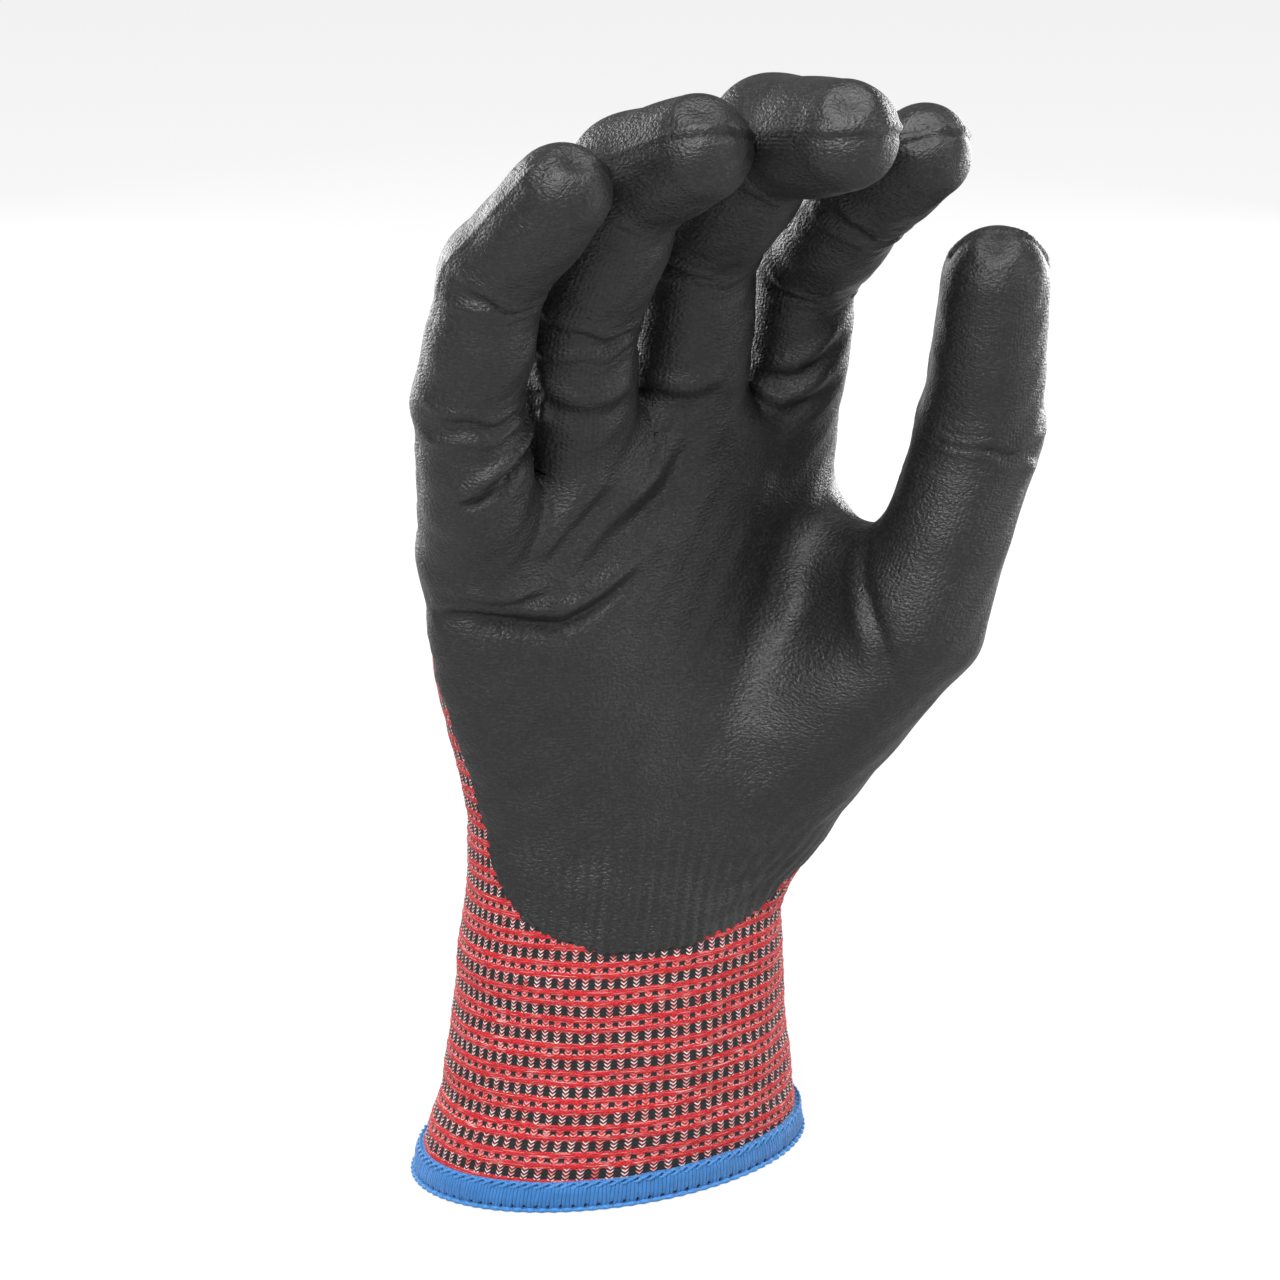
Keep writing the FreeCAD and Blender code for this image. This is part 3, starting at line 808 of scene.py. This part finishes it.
def make_palm():
    """The palm, the back of the hand and the ball of the thumb, and the thumb's own pieces."""
    verts, quads = surface_net(*lattice_field(hand_field, *HAND_BOX))
    verts, normals = settle(hand_field, verts)
    tris = as_triangles(quads)
    owned = np.max([own_level(verts, d) for d in FINGERS], axis=0)
    thumb = own_level(verts, "thumb")
    data = np.column_stack((skin_data(verts, normals, None, tris), owned, thumb))
    data, tris = clip(data, tris, -data[:, LEVEL_AT])
    hand, hand_tris = clip(data, tris, -data[:, LEVEL_AT + 1])
    knit, knit_tris = under_dip(hand, hand_tris)
    knit, knit_tris = clip(knit, knit_tris, knit[:, 2] - HAND_START)
    piece = add_skin("back_of_hand_liner", knit, knit_tris, "knit", ("hand",), None, WALES_ROUND_CUFF)
    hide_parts("palm_knit", *(f"{f}_base_crease" for f in FINGERS))
    add_dip("palm_dip", hand, hand_tris, ("cuff", "hand"), WRIST_BEND, WALES_ROUND_CUFF, ["palm_coating"])
    part, part_tris = clip(data, tris, data[:, LEVEL_AT + 1])
    wale, course, count = digit_grain(part[:, POS], "thumb")
    share = step(past_start(part[:, POS], "thumb"), 0, SHARE_LENGTH)
    part[:, DIP_AT] = part[:, DIP_AT] * (1 - share) + digit_dip(part[:, POS], "thumb") * share
    part[:, WALE_AT], part[:, COURSE_AT] = wale, course
    cut_digit("thumb", part, part_tris, count)


def cut_digit(digit, data, tris, count):
    """Cuts a digit's surface between its joints and adds each stretch as its own piece."""
    bends, cuts = bend_planes(digit)
    links = ("base", "tip") if digit == "thumb" else ("base", "middle", "tip")
    parent = "hand"
    for n, (link, bend) in enumerate(zip(links, bends)):
        part, part_tris = data, tris
        if n:
            middle, normal = cuts[n - 1]
            part, part_tris = clip(part, part_tris, (part[:, POS] - middle) @ normal)
        if n < len(cuts):
            middle, normal = cuts[n]
            part, part_tris = clip(part, part_tris, (middle - part[:, POS]) @ normal)
        body = f"{digit}_{link}"
        bodies = (parent, body)
        knit, knit_tris = under_dip(part, part_tris)
        if len(knit_tris):
            piece = add_skin(f"{body}_liner", knit, knit_tris, "knit", bodies, bend, count)
            crease = [f"{body}_crease"] if digit == "thumb" or n else []
            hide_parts(f"{body}_knit", *crease)
        add_dip(f"{body}_dip", part, part_tris, bodies, bend, count, [f"{body}_coating"])
        parent = body


def make_finger(digit):
    """The pieces of one finger, from where it leaves the palm."""

    def field(p):
        return smin(palm_field(p), digit_field(p, digit), WEB_ROUND)

    points = np.array(POINTS[digit])
    margin = RADII[digit][0] + BOX_ROOM
    low = points.min(0) - margin
    low[2] = points[0][2] - BOX_ROOM
    verts, quads = surface_net(*lattice_field(field, low, points.max(0) + margin))
    verts, normals = settle(field, verts)
    tris = as_triangles(quads)
    data = np.column_stack((skin_data(verts, normals, digit, tris), own_level(verts, digit)))
    data, tris = clip(data, tris, data[:, LEVEL_AT])
    share = step(past_start(data[:, POS], digit), 0, SHARE_LENGTH)
    data[:, DIP_AT] = palm_dip(data[:, POS]) * (1 - share) + data[:, DIP_AT] * share
    _, course = palm_grain(data[:, POS])
    data[:, COURSE_AT] = course * (1 - share) + data[:, COURSE_AT] * share
    count = digit_grain(data[:1, POS], digit)[2]
    cut_digit(digit, data, tris, count)


# ---- the cuff ----
# the knit repeats after this length; its courses change at these parts of it; half width of a pale wale
REPEAT, ROW_ENDS, WALE_HALF = 5.5, (0.42, 0.61, 0.79), 0.16
# length of a stitch, and how steeply its two legs rise
STITCH, LEG_SLOPE = 0.75, 2.6
# heights in millimetres: of the thick courses and their twist, of the wales, and the sink of it all
COURSE_HEIGHT, TWIST_HEIGHT, WALE_HEIGHT, LEG_HEIGHT, KNIT_SINK = 0.24, 0.03, 0.13, 0.07, 0.12
CUFF_START, CUFF_STEP, STEPS_PER_WALE, CUFF_SECTORS = 5.2, 0.32, 8, 4
# the stitches are pressed flat under the dip, and fade where the hand's own liner begins
DIP_SINK, FADE = 0.25, 3
# how a ray finds the surface: its steps, how far ahead it tests, and its longest step
RING_STEPS, RING_TEST, RING_LEAP = 8, 0.05, 4
LINING_FROM, LINING_TO, LINING_STEP, LINING_COLUMNS, LINING_INSET = 1.5, 100, 2.0, 160, 1.3
ELASTICS, ELASTIC_FROM, ELASTIC_STEP, ELASTIC_INSET, ELASTIC_RADIUS = 7, 14.4, 5.2, 1.9, 0.32


def stitch_relief(wale, course):
    """Height of the knit's face: raised red courses, wales of small Vs, and sunk blocks between."""
    row = np.mod(course / REPEAT, 1)
    side = np.abs(np.mod(wale + 0.5, 1) - 0.5)
    a, b, c = ROW_ENDS
    first = np.sin(np.pi * np.clip((row - a) / (b - a), 0, 1))
    second = np.sin(np.pi * np.clip((row - c) / (1 - c), 0, 1))
    band = np.sqrt(np.maximum(first, second))
    twist = TWIST_HEIGHT * np.cos(2 * np.pi * (wale * 4 + course * 1.4))
    leg = np.cos(2 * np.pi * (course / STITCH - side * LEG_SLOPE))
    column = step(-side, -0.28, -0.14) * (WALE_HEIGHT + LEG_HEIGHT * leg)
    return np.maximum(band * (COURSE_HEIGHT + twist), column) - KNIT_SINK


def turned(x, y, turn):
    """Directions on the level, turned about the upright, as rows of three."""
    return np.column_stack((x * np.cos(turn) - y * np.sin(turn), x * np.sin(turn) + y * np.cos(turn), 0 * x))


def ring_points(angles, heights, inset):
    """Points round the hand's surface at some angles, heights and insets, and the oval's way out there."""
    x0, y0, half_width, half_depth, turn = outline(heights)
    turn = np.radians(turn)
    centre = np.column_stack((x0, y0, heights))
    ray = turned(half_width * np.sin(angles), -half_depth * np.cos(angles), turn)
    reach = lengths(ray)
    ray = units(ray)
    for _ in range(RING_STEPS):
        here = palm_field(centre + ray * reach[:, None])
        ahead = palm_field(centre + ray * (reach + RING_TEST)[:, None])
        reach = reach - np.clip(here / np.maximum((ahead - here) / RING_TEST, 0.3), -RING_LEAP, RING_LEAP)
    normal = units(turned(np.sin(angles) / half_width, -np.cos(angles) / half_depth, turn))
    return centre + ray * reach[:, None] - normal * np.asarray(inset).reshape(-1, 1), normal


def grid_faces(rows, columns, closed=False, looped=False):
    """Quads over rows of points, closed round each row, and looped from the last row to the first."""
    i = np.arange(rows if looped else rows - 1)[:, None] * columns
    j = np.arange(columns if closed else columns - 1)[None]
    k = (j + 1) % columns
    after = (i + columns) % (rows * columns)
    return np.stack((i + j, i + k, after + k, after + j), -1).reshape(-1, 4)


def make_cuff():
    """The ribbed cuff and the lower back of the hand, in sectors, with every stitch raised."""
    heights = np.arange(CUFF_START, HAND_START + CUFF_STEP / 2, CUFF_STEP)
    wales = WALES_ROUND_CUFF // CUFF_SECTORS
    columns = wales * STEPS_PER_WALE + 1
    for sector in range(CUFF_SECTORS):
        wale = -WALES_ROUND_CUFF / 2 + wales * sector + np.arange(-1, columns + 1) / STEPS_PER_WALE
        w, z = np.meshgrid(wale, heights)
        w, z = w.ravel(), z.ravel()
        p, normal = ring_points(w * 2 * np.pi / WALES_ROUND_CUFF, z, 0)
        dip = hand_dip(p)
        course = z + CUFF_TILT * to_outline(p)[0]
        bare = step(-dip, -0.4, 0.9)
        relief = stitch_relief(w, course) * bare - DIP_SINK * (1 - bare)
        relief = relief * (1 - step(z, HAND_START - FADE, HAND_START)) + cloth_slack(p)
        p = p + normal * relief[:, None]
        # one more column on each side shapes the directions along the sector's edges, and is left out
        faces = grid_faces(len(heights), columns + 2)
        data = np.column_stack((p, mesh_normals(p, as_triangles(faces)), w, course, dip))
        column = np.mod(faces[:, 0], columns + 2)
        data, tris = under_dip(data, as_triangles(faces[(column > 0) & (column < columns)]))
        piece = add_skin(f"cuff_knit_{sector + 1}", data, tris, "knit", ("cuff", "hand"), WRIST_BEND)
        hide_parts("cuff_rib_knit", "wrist_crease")


def make_lining():
    """The inside face of the cuff, and the covered elastic laid in behind it."""
    heights = np.arange(LINING_FROM, LINING_TO, LINING_STEP)
    angles = np.linspace(0, 2 * np.pi, LINING_COLUMNS, endpoint=False)
    a, z = np.meshgrid(angles, heights)
    p, _ = ring_points(a.ravel(), z.ravel(), LINING_INSET)
    grain = np.column_stack((a.ravel() * WALES_ROUND_CUFF / (2 * np.pi), z.ravel()))
    faces = grid_faces(len(heights), LINING_COLUMNS, closed=True)[:, ::-1]
    piece = add_mesh("cuff_lining", p, faces, materials["knit"], None, grain, WALES_ROUND_CUFF)
    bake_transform(piece)
    levels = [np.full(LINING_COLUMNS, ELASTIC_FROM + ELASTIC_STEP * n) for n in range(ELASTICS)]
    parts = [tube(ring_points(angles, z, ELASTIC_INSET)[0], ELASTIC_RADIUS, 6) for z in levels]
    piece = join_mesh("cuff_elastic", parts, "elastic")
    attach(piece, "cuff")
    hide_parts("cuff_elastic_threads")


def tube(points, radius, sides):
    """A closed round cord along a loop of points."""
    ahead = units(np.roll(points, -1, 0) - np.roll(points, 1, 0))
    out = units(np.cross(ahead, np.array((0, 0, 1.0))))
    over = np.cross(out, ahead)
    turn = np.linspace(0, 2 * np.pi, sides, endpoint=False)[None, :, None]
    radius = np.broadcast_to(np.asarray(radius, float), len(points))[:, None, None]
    rings = points[:, None] + radius * (out[:, None] * np.cos(turn) + over[:, None] * np.sin(turn))
    faces = grid_faces(len(points), sides, closed=True, looped=True)
    return rings.reshape(-1, 3), faces[:, (0, 3, 2, 1)]


def join_mesh(name, parts, kind):
    """One object from several lists of points and faces."""
    verts, faces, offset = [], [], 0
    for v, f in parts:
        verts.append(v)
        faces.append(f + offset)
        offset += len(v)
    return add_mesh(name, np.concatenate(verts), np.concatenate(faces), materials[kind])


# ---- the hem ----
HEM_THREADS, STEPS_PER_THREAD, HEM_PROFILE = 306, 4, 60
HEM_HALF_HEIGHT, HEM_HALF_WIDTH, HEM_INSET = 3.0, 1.75, 0.65
# how square the roll's section is upwards and outwards
UP_POWER, OUT_POWER = 0.62, 0.8
THREAD_HEIGHT, THREAD_PROUD, THREAD_SLANT, THREAD_ROUND = 0.24, 0.07, 0.0035, 0.7
# needle holes: their number, distance from each other, half sizes, depth, and drop below the roll's middle
NEEDLES, NEEDLE_GAP, NEEDLE_ACROSS, NEEDLE_UP, NEEDLE_DEPTH, NEEDLE_DROP = 96, 2.35, 0.34, 0.42, 0.7, 1.9
CHAIN_STEPS, CHAIN_SIDES, CHAIN_RADIUS = 14, 8, 0.24
# the phase and height of the two threads of the upper chain
CHAINS = ((0, 5.8), (np.pi, 5.25))


def rounded(wave, power):
    """A wave from -1 to 1 made squarer."""
    return np.sign(wave) * np.abs(wave) ** power


def make_roll():
    """The overlocked edge: threads wrapped side by side over the cloth, with a row of needle holes."""
    rng = np.random.default_rng(7)
    columns = HEM_THREADS * STEPS_PER_THREAD
    thread = np.arange(columns) / STEPS_PER_THREAD
    number = thread.astype(int)
    turn = np.linspace(0, 2 * np.pi, HEM_PROFILE, endpoint=False)
    slant = THREAD_SLANT * rng.standard_normal(HEM_THREADS)
    proud = THREAD_PROUD * rng.standard_normal(HEM_THREADS)
    crown = np.abs(np.sin(np.pi * thread)) ** THREAD_ROUND
    up = rounded(np.sin(turn), UP_POWER) * HEM_HALF_HEIGHT
    out = rounded(np.cos(turn), OUT_POWER) * HEM_HALF_WIDTH
    t, a = np.meshgrid(np.arange(HEM_PROFILE), thread / HEM_THREADS * 2 * np.pi)
    a = a + slant[number][:, None] * up[t] / HEM_HALF_HEIGHT
    relief = (THREAD_HEIGHT * crown + proud[number])[:, None] * np.clip(np.abs(np.cos(turn[t])) + 0.35, 0, 1)
    needle = np.abs(np.mod(a * NEEDLES / (2 * np.pi), 1) - 0.5) * NEEDLE_GAP
    hole = bell(needle, NEEDLE_ACROSS) * bell(up[t] + NEEDLE_DROP, NEEDLE_UP) * (out[t] > 0)
    z = np.clip(HEM_HALF_HEIGHT + up[t] * (1 - 0.02 * crown[:, None]), 0.02, None)
    wave = 0.12 * np.sin(a * 9) + 0.08 * np.sin(a * 23 + 1)
    inset = HEM_INSET - out[t] - relief + NEEDLE_DEPTH * hole - wave * (up[t] > 0)
    p, _ = ring_points(a.ravel(), z.ravel(), inset.ravel())
    faces = grid_faces(columns, HEM_PROFILE, closed=True, looped=True)
    grain = np.column_stack((np.repeat(thread, HEM_PROFILE), np.tile(turn, columns)))
    piece = add_mesh("hem_overlock", p, faces, materials["binding"], None, grain, HEM_THREADS)
    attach(piece, "cuff")
    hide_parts("hem_binding")


def make_chain():
    """The chain of thread along each border of the overlocked edge."""
    a = np.linspace(0, 2 * np.pi, NEEDLES * CHAIN_STEPS, endpoint=False)
    phase = a * NEEDLES
    parts = []
    for shift, height in CHAINS:
        z = height + 0.26 * np.sin(phase + shift)
        points, _ = ring_points(a, z, -0.98 - 0.14 * np.cos(phase + shift))
        parts.append(tube(points, CHAIN_RADIUS * (1 + 0.15 * np.cos(phase + shift)), CHAIN_SIDES))
    points, _ = ring_points(a, 0.55 + 0.10 * np.cos(phase), -1.15 - 0.16 * np.cos(phase))
    parts.append(tube(points, 0.42 * (1 + 0.2 * np.cos(phase)), CHAIN_SIDES))
    piece = join_mesh("hem_chain", parts, "thread")
    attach(piece, "cuff")
    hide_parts("hem_chain_thread")


# ---- materials ----
RED = (0.60, 0.010, 0.018, 1)
DEEP_RED = (0.24, 0.004, 0.008, 1)
PINK = (0.66, 0.33, 0.315, 1)
WHITE = (0.7052, 0.656, 0.6396, 1)
BLACK = (0.007, 0.0065, 0.008, 1)
BLUE = (0.018, 0.160, 0.44, 1)
# the painted shade in the grooves of the overlock thread
BLUE_GROOVE_SHADE = (0.005, 0.045, 0.17, 1)
PALE_BLUE = (0.045, 0.23, 0.56, 1)
COATING = (0.003, 0.003, 0.0034, 1)
# the lighter end of the dip's colour: pale flecks, and painted sheen
COATING_FLECK_AND_SHEEN = (0.020, 0.020, 0.0216, 1)
# where round the hem's section the needle holes are, in radians
NEEDLE_TURN = 5.784
# the knit that prints through the dip repeats after this many millimetres, and this many wales
RIDGE_PITCH, WALE_RIDGE = 0.72, 1 / 3


def add_node(tree, kind, inputs, **settings):
    """A shader node with its settings, and inputs that are a number, a colour or another node's output."""
    node = tree.nodes.new("ShaderNode" + kind)
    for name, value in settings.items():
        setattr(node, name, value)
    for place, value in inputs.items():
        put(tree, node.inputs[place], value)
    return node.outputs


def put(tree, socket, value):
    value = getattr(value, "socket", value)
    if isinstance(value, bpy.types.NodeSocket):
        tree.links.new(value, socket)
    else:
        socket.default_value = value


class Value:
    """A number in a node tree, which can be added, subtracted and multiplied."""

    def __init__(self, tree, socket):
        self.tree, self.socket = tree, socket

    def math(self, operation, *values):
        return Value(self.tree, add_node(self.tree, "Math", dict(enumerate(values)), operation=operation)[0])

    def __add__(self, other):
        return self.math("ADD", self, other)

    def __sub__(self, other):
        return self.math("SUBTRACT", self, other)

    def __rsub__(self, other):
        return self.math("SUBTRACT", other, self)

    def __mul__(self, other):
        return self.math("MULTIPLY", self, other)

    def __abs__(self):
        return self.math("ABSOLUTE", self)

    def fraction(self):
        return self.math("FRACT", self)

    def wave(self, pitch):
        """A cosine from -1 to 1, repeating every pitch."""
        return self.math("COSINE", self * (2 * math.pi / pitch))

    def ramp(self, low, high, out_low=0.0, out_high=1.0):
        """An eased step from out_low at low to out_high at high."""
        inputs = dict(enumerate((self, low, high, out_low, out_high)))
        return Value(self.tree, add_node(self.tree, "MapRange", inputs, interpolation_type="SMOOTHSTEP")[0])

    def mix(self, first, second):
        """The colour between two colours at this share."""
        inputs = {"Factor": self, "A": first, "B": second}
        return add_node(self.tree, "Mix", inputs, data_type="RGBA")["Result"]


class Look:
    """A material in the making: its shader, its wale number u and course height v, and its noises."""

    def __init__(self, name, roughness, sheen=0.0):
        self.material = bpy.data.materials.new(name)
        self.material.use_nodes = True
        self.tree = self.material.node_tree
        self.inputs = self.tree.nodes["Principled BSDF"].inputs
        self.inputs["Roughness"].default_value = roughness
        self.inputs["Sheen Weight"].default_value = sheen
        self.inputs["Sheen Roughness"].default_value = 0.45
        grain = add_node(self.tree, "UVMap", {}, uv_map="Grain")[0]
        split = add_node(self.tree, "SeparateXYZ", {0: grain})
        self.u, self.v = Value(self.tree, split[0]), Value(self.tree, split[1])
        self.place = add_node(self.tree, "TexCoord", {})["Object"]

    def noise(self, scale, detail, vector=None):
        inputs = {"Vector": vector or self.place, "Scale": scale, "Detail": detail}
        return Value(self.tree, add_node(self.tree, "TexNoise", inputs)[0])

    def vector(self, x, y):
        return add_node(self.tree, "CombineXYZ", {0: x, 1: y})[0]

    def grain_noise(self, detail, across, along):
        """A noise laid out on the cloth's own grain."""
        return self.noise(1.0, detail, self.vector(self.u * across, self.v * along))

    def finish(self, colour, height, strength, distance, roughness=None):
        """The material, with a colour and the height of its fine relief."""
        put(self.tree, self.inputs["Base Color"], colour)
        if roughness:
            put(self.tree, self.inputs["Roughness"], roughness)
        relief = {"Strength": strength, "Distance": distance, "Height": height}
        put(self.tree, self.inputs["Normal"], add_node(self.tree, "Bump", relief)[0])
        return self.material


def coating_material(name, rows_share, wales_share):
    """Black dipping: the knit prints through as fine ridges, across the hand and along the stalls, with
    painted sheen in its colour.
    """
    look = Look(name, 0.42)
    drift = (look.noise(260, 2) - 0.5) * 1.5
    rows = (look.v + drift).wave(RIDGE_PITCH) * look.noise(75, 2).ramp(0.36, 0.62)
    wales = (look.u + drift * 0.3).wave(WALE_RIDGE) * look.noise(63, 2).ramp(0.36, 0.62)
    ridges = rows * rows_share + wales * wales_share
    squashed = add_node(look.tree, "VectorMath", {0: look.place, 1: (0.6, 0.6, 1.0)}, operation="MULTIPLY")[0]
    leather = look.noise(2100, 2, squashed)
    height = ridges * 0.11 + look.noise(2400, 3) * 0.45 + leather * 2.0
    fleck = look.noise(1900, 1).ramp(0.71, 0.76)
    # painted sheen, partly: the ridges' crests and the leathery grain are painted lighter to stand in for the
    # dip's sheen; the flecks and slow noise are the dip's own uneven tone
    painted_sheen_and_tone = ridges.ramp(-0.6, 1.1) * 0.3 + fleck * 0.7 + look.noise(38, 3) * 0.30
    painted_sheen_and_tone = painted_sheen_and_tone + leather.ramp(0.42, 0.72, 0.0, 0.6)
    rough = look.noise(420, 2).ramp(0.3, 0.7, 0.41, 0.51)
    look.inputs["Specular IOR Level"].default_value = 0.50
    return look.finish(painted_sheen_and_tone.mix(COATING, COATING_FLECK_AND_SHEEN), height, 0.50, 0.00035, rough)


def knit_material():
    """Patterned knit: red courses and dotted courses between rows of black blocks parted by pale wales."""
    look = Look("knit_liner", 0.8, 0.02)
    row = (look.v * (1 / REPEAT)).fraction() + (look.noise(700, 2) - 0.5) * 0.09
    side = abs((look.u + 0.5).fraction() - 0.5)
    edge = 0.5 - side
    arched = row + edge * edge * 1.1
    a, b, c = ROW_ENDS
    block = row.ramp(a - 0.01, a + 0.03, 1, 0)
    hole = arched.ramp(a - 0.03, a + 0.01, 1, 0) * row.ramp(0.0, 0.05)
    dotted = row.ramp(b - 0.03, b + 0.01) * row.ramp(c - 0.01, c + 0.03, 1, 0)
    leg = (look.v - side * (LEG_SLOPE * STITCH)).wave(STITCH)
    stroke = leg.ramp(0.05, 0.60)
    # the pale yarn changes its colour from wale to wale, and slowly along each
    pick = look.noise(1.0, 0, look.vector(look.u.math("ROUND", look.u) * 1.7, look.v * 0.9))
    pale = pick.ramp(0.36, 0.56).mix(PINK, WHITE)
    pale = pick.ramp(0.60, 0.70, 0.0, 0.8).mix(pale, RED)
    column = stroke.mix(side.ramp(0.05, 0.2).mix(DEEP_RED, BLACK), pale)
    ply = look.grain_noise(2, 5.0, 4.0)
    streak = look.grain_noise(2, 0.6, 4.5).ramp(0.56, 0.62)
    streak = streak * look.grain_noise(1, 0.16, 0.8).ramp(0.55, 0.68, 0.45, 1.0)
    red = streak.mix(ply.ramp(0.38, 0.56).mix(DEEP_RED, RED), PINK)
    crescent = side.ramp(0.24, 0.31) * arched.ramp(b + 0.01, b + 0.05)
    dots = crescent.mix((stroke * 0.6).mix(red, pale), BLACK)
    wale = side.ramp(WALE_HALF, WALE_HALF + 0.14, 1, 0)
    blocks = wale.mix(hole.ramp(0.3, 0.7).mix(red, BLACK), column)
    height = look.noise(3200, 2) + leg * 0.25 + ply * 0.5
    return look.finish(block.mix(dotted.mix(red, dots), blocks), height, 0.5, 0.00035)


def binding_material():
    """Blue overlock thread with painted shade: darker in the grooves between turns and lighter along each
    crown, and a row of needle holes painted black as shade.
    """
    look = Look("binding_yarn", 0.6, 0.4)
    crown = abs(look.u.math("SINE", look.u * math.pi))
    # each thread has its own shade, from a quick scramble of its number
    number = look.u.math("FLOOR", look.u) * 12.9898
    shade = (number.math("SINE", number) * 437.5).fraction()
    # painted shade: the thread is darker blue in the grooves between turns and lighter along each crown
    colour = crown.ramp(0.0, 0.45).mix(BLUE_GROOVE_SHADE, (shade * 0.30).mix(BLUE, PALE_BLUE))
    # painted shade: the needle holes are painted black where they are only in shade
    across = ((look.u * (NEEDLES / HEM_THREADS)).fraction() - 0.5) * NEEDLE_GAP
    over = (look.v - NEEDLE_TURN) * 2.6
    far = across.math("SQRT", across * across + over * over)
    colour = far.ramp(0.24, 0.42, 1, 0).mix(colour, BLACK)
    ply = (look.u * 1.5 + look.v * 5.0).wave(1.0)
    return look.finish(colour, look.noise(3600, 2) + ply * 0.12, 0.35, 0.0003)


def thread_material(name, dark, bright, roughness):
    """Plain twisted thread."""
    look = Look(name, roughness, 0.3)
    colour = look.noise(2200, 2).ramp(0.3, 0.62).mix(dark, bright)
    return look.finish(colour, look.noise(3600, 2), 0.4, 0.0003)


materials["coating"] = coating_material("nitrile_palm", 0.5, 0.3)
materials["stall_coating"] = coating_material("nitrile_stalls", 0.5, 0.9)
materials["knit"] = knit_material()
materials["binding"] = binding_material()
materials["thread"] = thread_material("chain_thread", BLUE, PALE_BLUE, 0.6)
materials["elastic"] = thread_material("elastic_yarn", DEEP_RED, RED, 0.7)

make_palm()
for finger in FINGERS:
    make_finger(finger)
make_cuff()
make_lining()
make_roll()
make_chain()


# ---- light, floor and camera, in metres ----
TARGET = Vector((0.0070, 0.0, 0.1065))
VIEW_AZIMUTH, VIEW_ELEVATION, VIEW_DISTANCE = math.radians(-26), math.radians(18), 0.75
LENS, SENSOR = 108.6, 36
# the glove is lit by a dimmer room than the white one that the camera sees
ROOM_LIGHT, FLOOR_LIT, FLOOR_SEEN, FLOOR_GLOW = 0.27, 0.42, 0.95, 0.82
# each light's place, size and power
LIGHTS = {
    "key": ((-0.60, -0.60, 0.80), (0.50, 0.50), 12),
    "top": ((-0.05, -0.20, 1.00), (0.75, 0.75), 9),
    "side": ((0.80, -0.62, 0.08), (0.45, 0.6), 5),
    "left_rim": ((-0.22, 0.88, 0.10), (0.5, 0.6), 9),
    "right_rim": ((0.83, 0.37, 0.06), (0.5, 0.6), 12),
}


def grey(level):
    return (level, level, level, 1)


def add_to_scene(name, data, at, towards):
    """A light or camera at a place, looking at another."""
    obj = bpy.data.objects.new(name, data)
    obj.location = at
    obj.rotation_euler = (towards - Vector(at)).to_track_quat("-Z", "Y").to_euler()
    bpy.context.scene.collection.objects.link(obj)
    return obj


def area_light(name, at, size, power):
    light = bpy.data.lights.new(name, "AREA")
    light.shape = "RECTANGLE"
    light.size, light.size_y = size
    light.energy = power
    return add_to_scene(name, light, at, TARGET)


def make_world():
    """White where the camera looks, dimmer where it lights the glove."""
    world = bpy.data.worlds.new("studio")
    world.use_nodes = True
    tree = world.node_tree
    seen = add_node(tree, "LightPath", {})["Is Camera Ray"]
    room = add_node(tree, "Background", {"Color": grey(1), "Strength": ROOM_LIGHT})[0]
    backdrop = add_node(tree, "Background", {"Color": grey(1)})[0]
    both = add_node(tree, "MixShader", {0: seen, 1: room, 2: backdrop})[0]
    put(tree, tree.nodes["World Output"].inputs[0], both)
    bpy.context.scene.world = world


def make_floor():
    """A pale floor, lighter to the camera than to the glove."""
    bpy.ops.mesh.primitive_plane_add(size=8, location=(0, 0, 0))
    floor = bpy.context.object
    floor.name = "floor"
    material = bpy.data.materials.new("floor")
    material.use_nodes = True
    tree = material.node_tree
    shader = tree.nodes["Principled BSDF"]
    shader.inputs["Roughness"].default_value = 0.9
    seen = Value(tree, add_node(tree, "LightPath", {})["Is Camera Ray"])
    put(tree, shader.inputs["Base Color"], seen.mix(grey(FLOOR_LIT), grey(FLOOR_SEEN)))
    glow = add_node(tree, "Emission", {})[0]
    both = add_node(tree, "MixShader", {0: seen * FLOOR_GLOW, 1: shader.outputs[0], 2: glow})[0]
    put(tree, tree.nodes["Material Output"].inputs[0], both)
    floor.data.materials.append(material)
    return floor


def make_camera():
    level = math.cos(VIEW_ELEVATION)
    direction = Vector(
        (math.sin(VIEW_AZIMUTH) * level, -math.cos(VIEW_AZIMUTH) * level, math.sin(VIEW_ELEVATION))
    )
    data = bpy.data.cameras.new("camera")
    data.lens, data.sensor_width = LENS, SENSOR
    return add_to_scene("camera", data, TARGET + direction * VIEW_DISTANCE, TARGET)


bpy.context.scene.view_settings.view_transform = "Standard"
make_world()
lights = [area_light(name, *values) for name, values in LIGHTS.items()]
floor = make_floor()
camera = make_camera()
bpy.context.scene.camera = camera
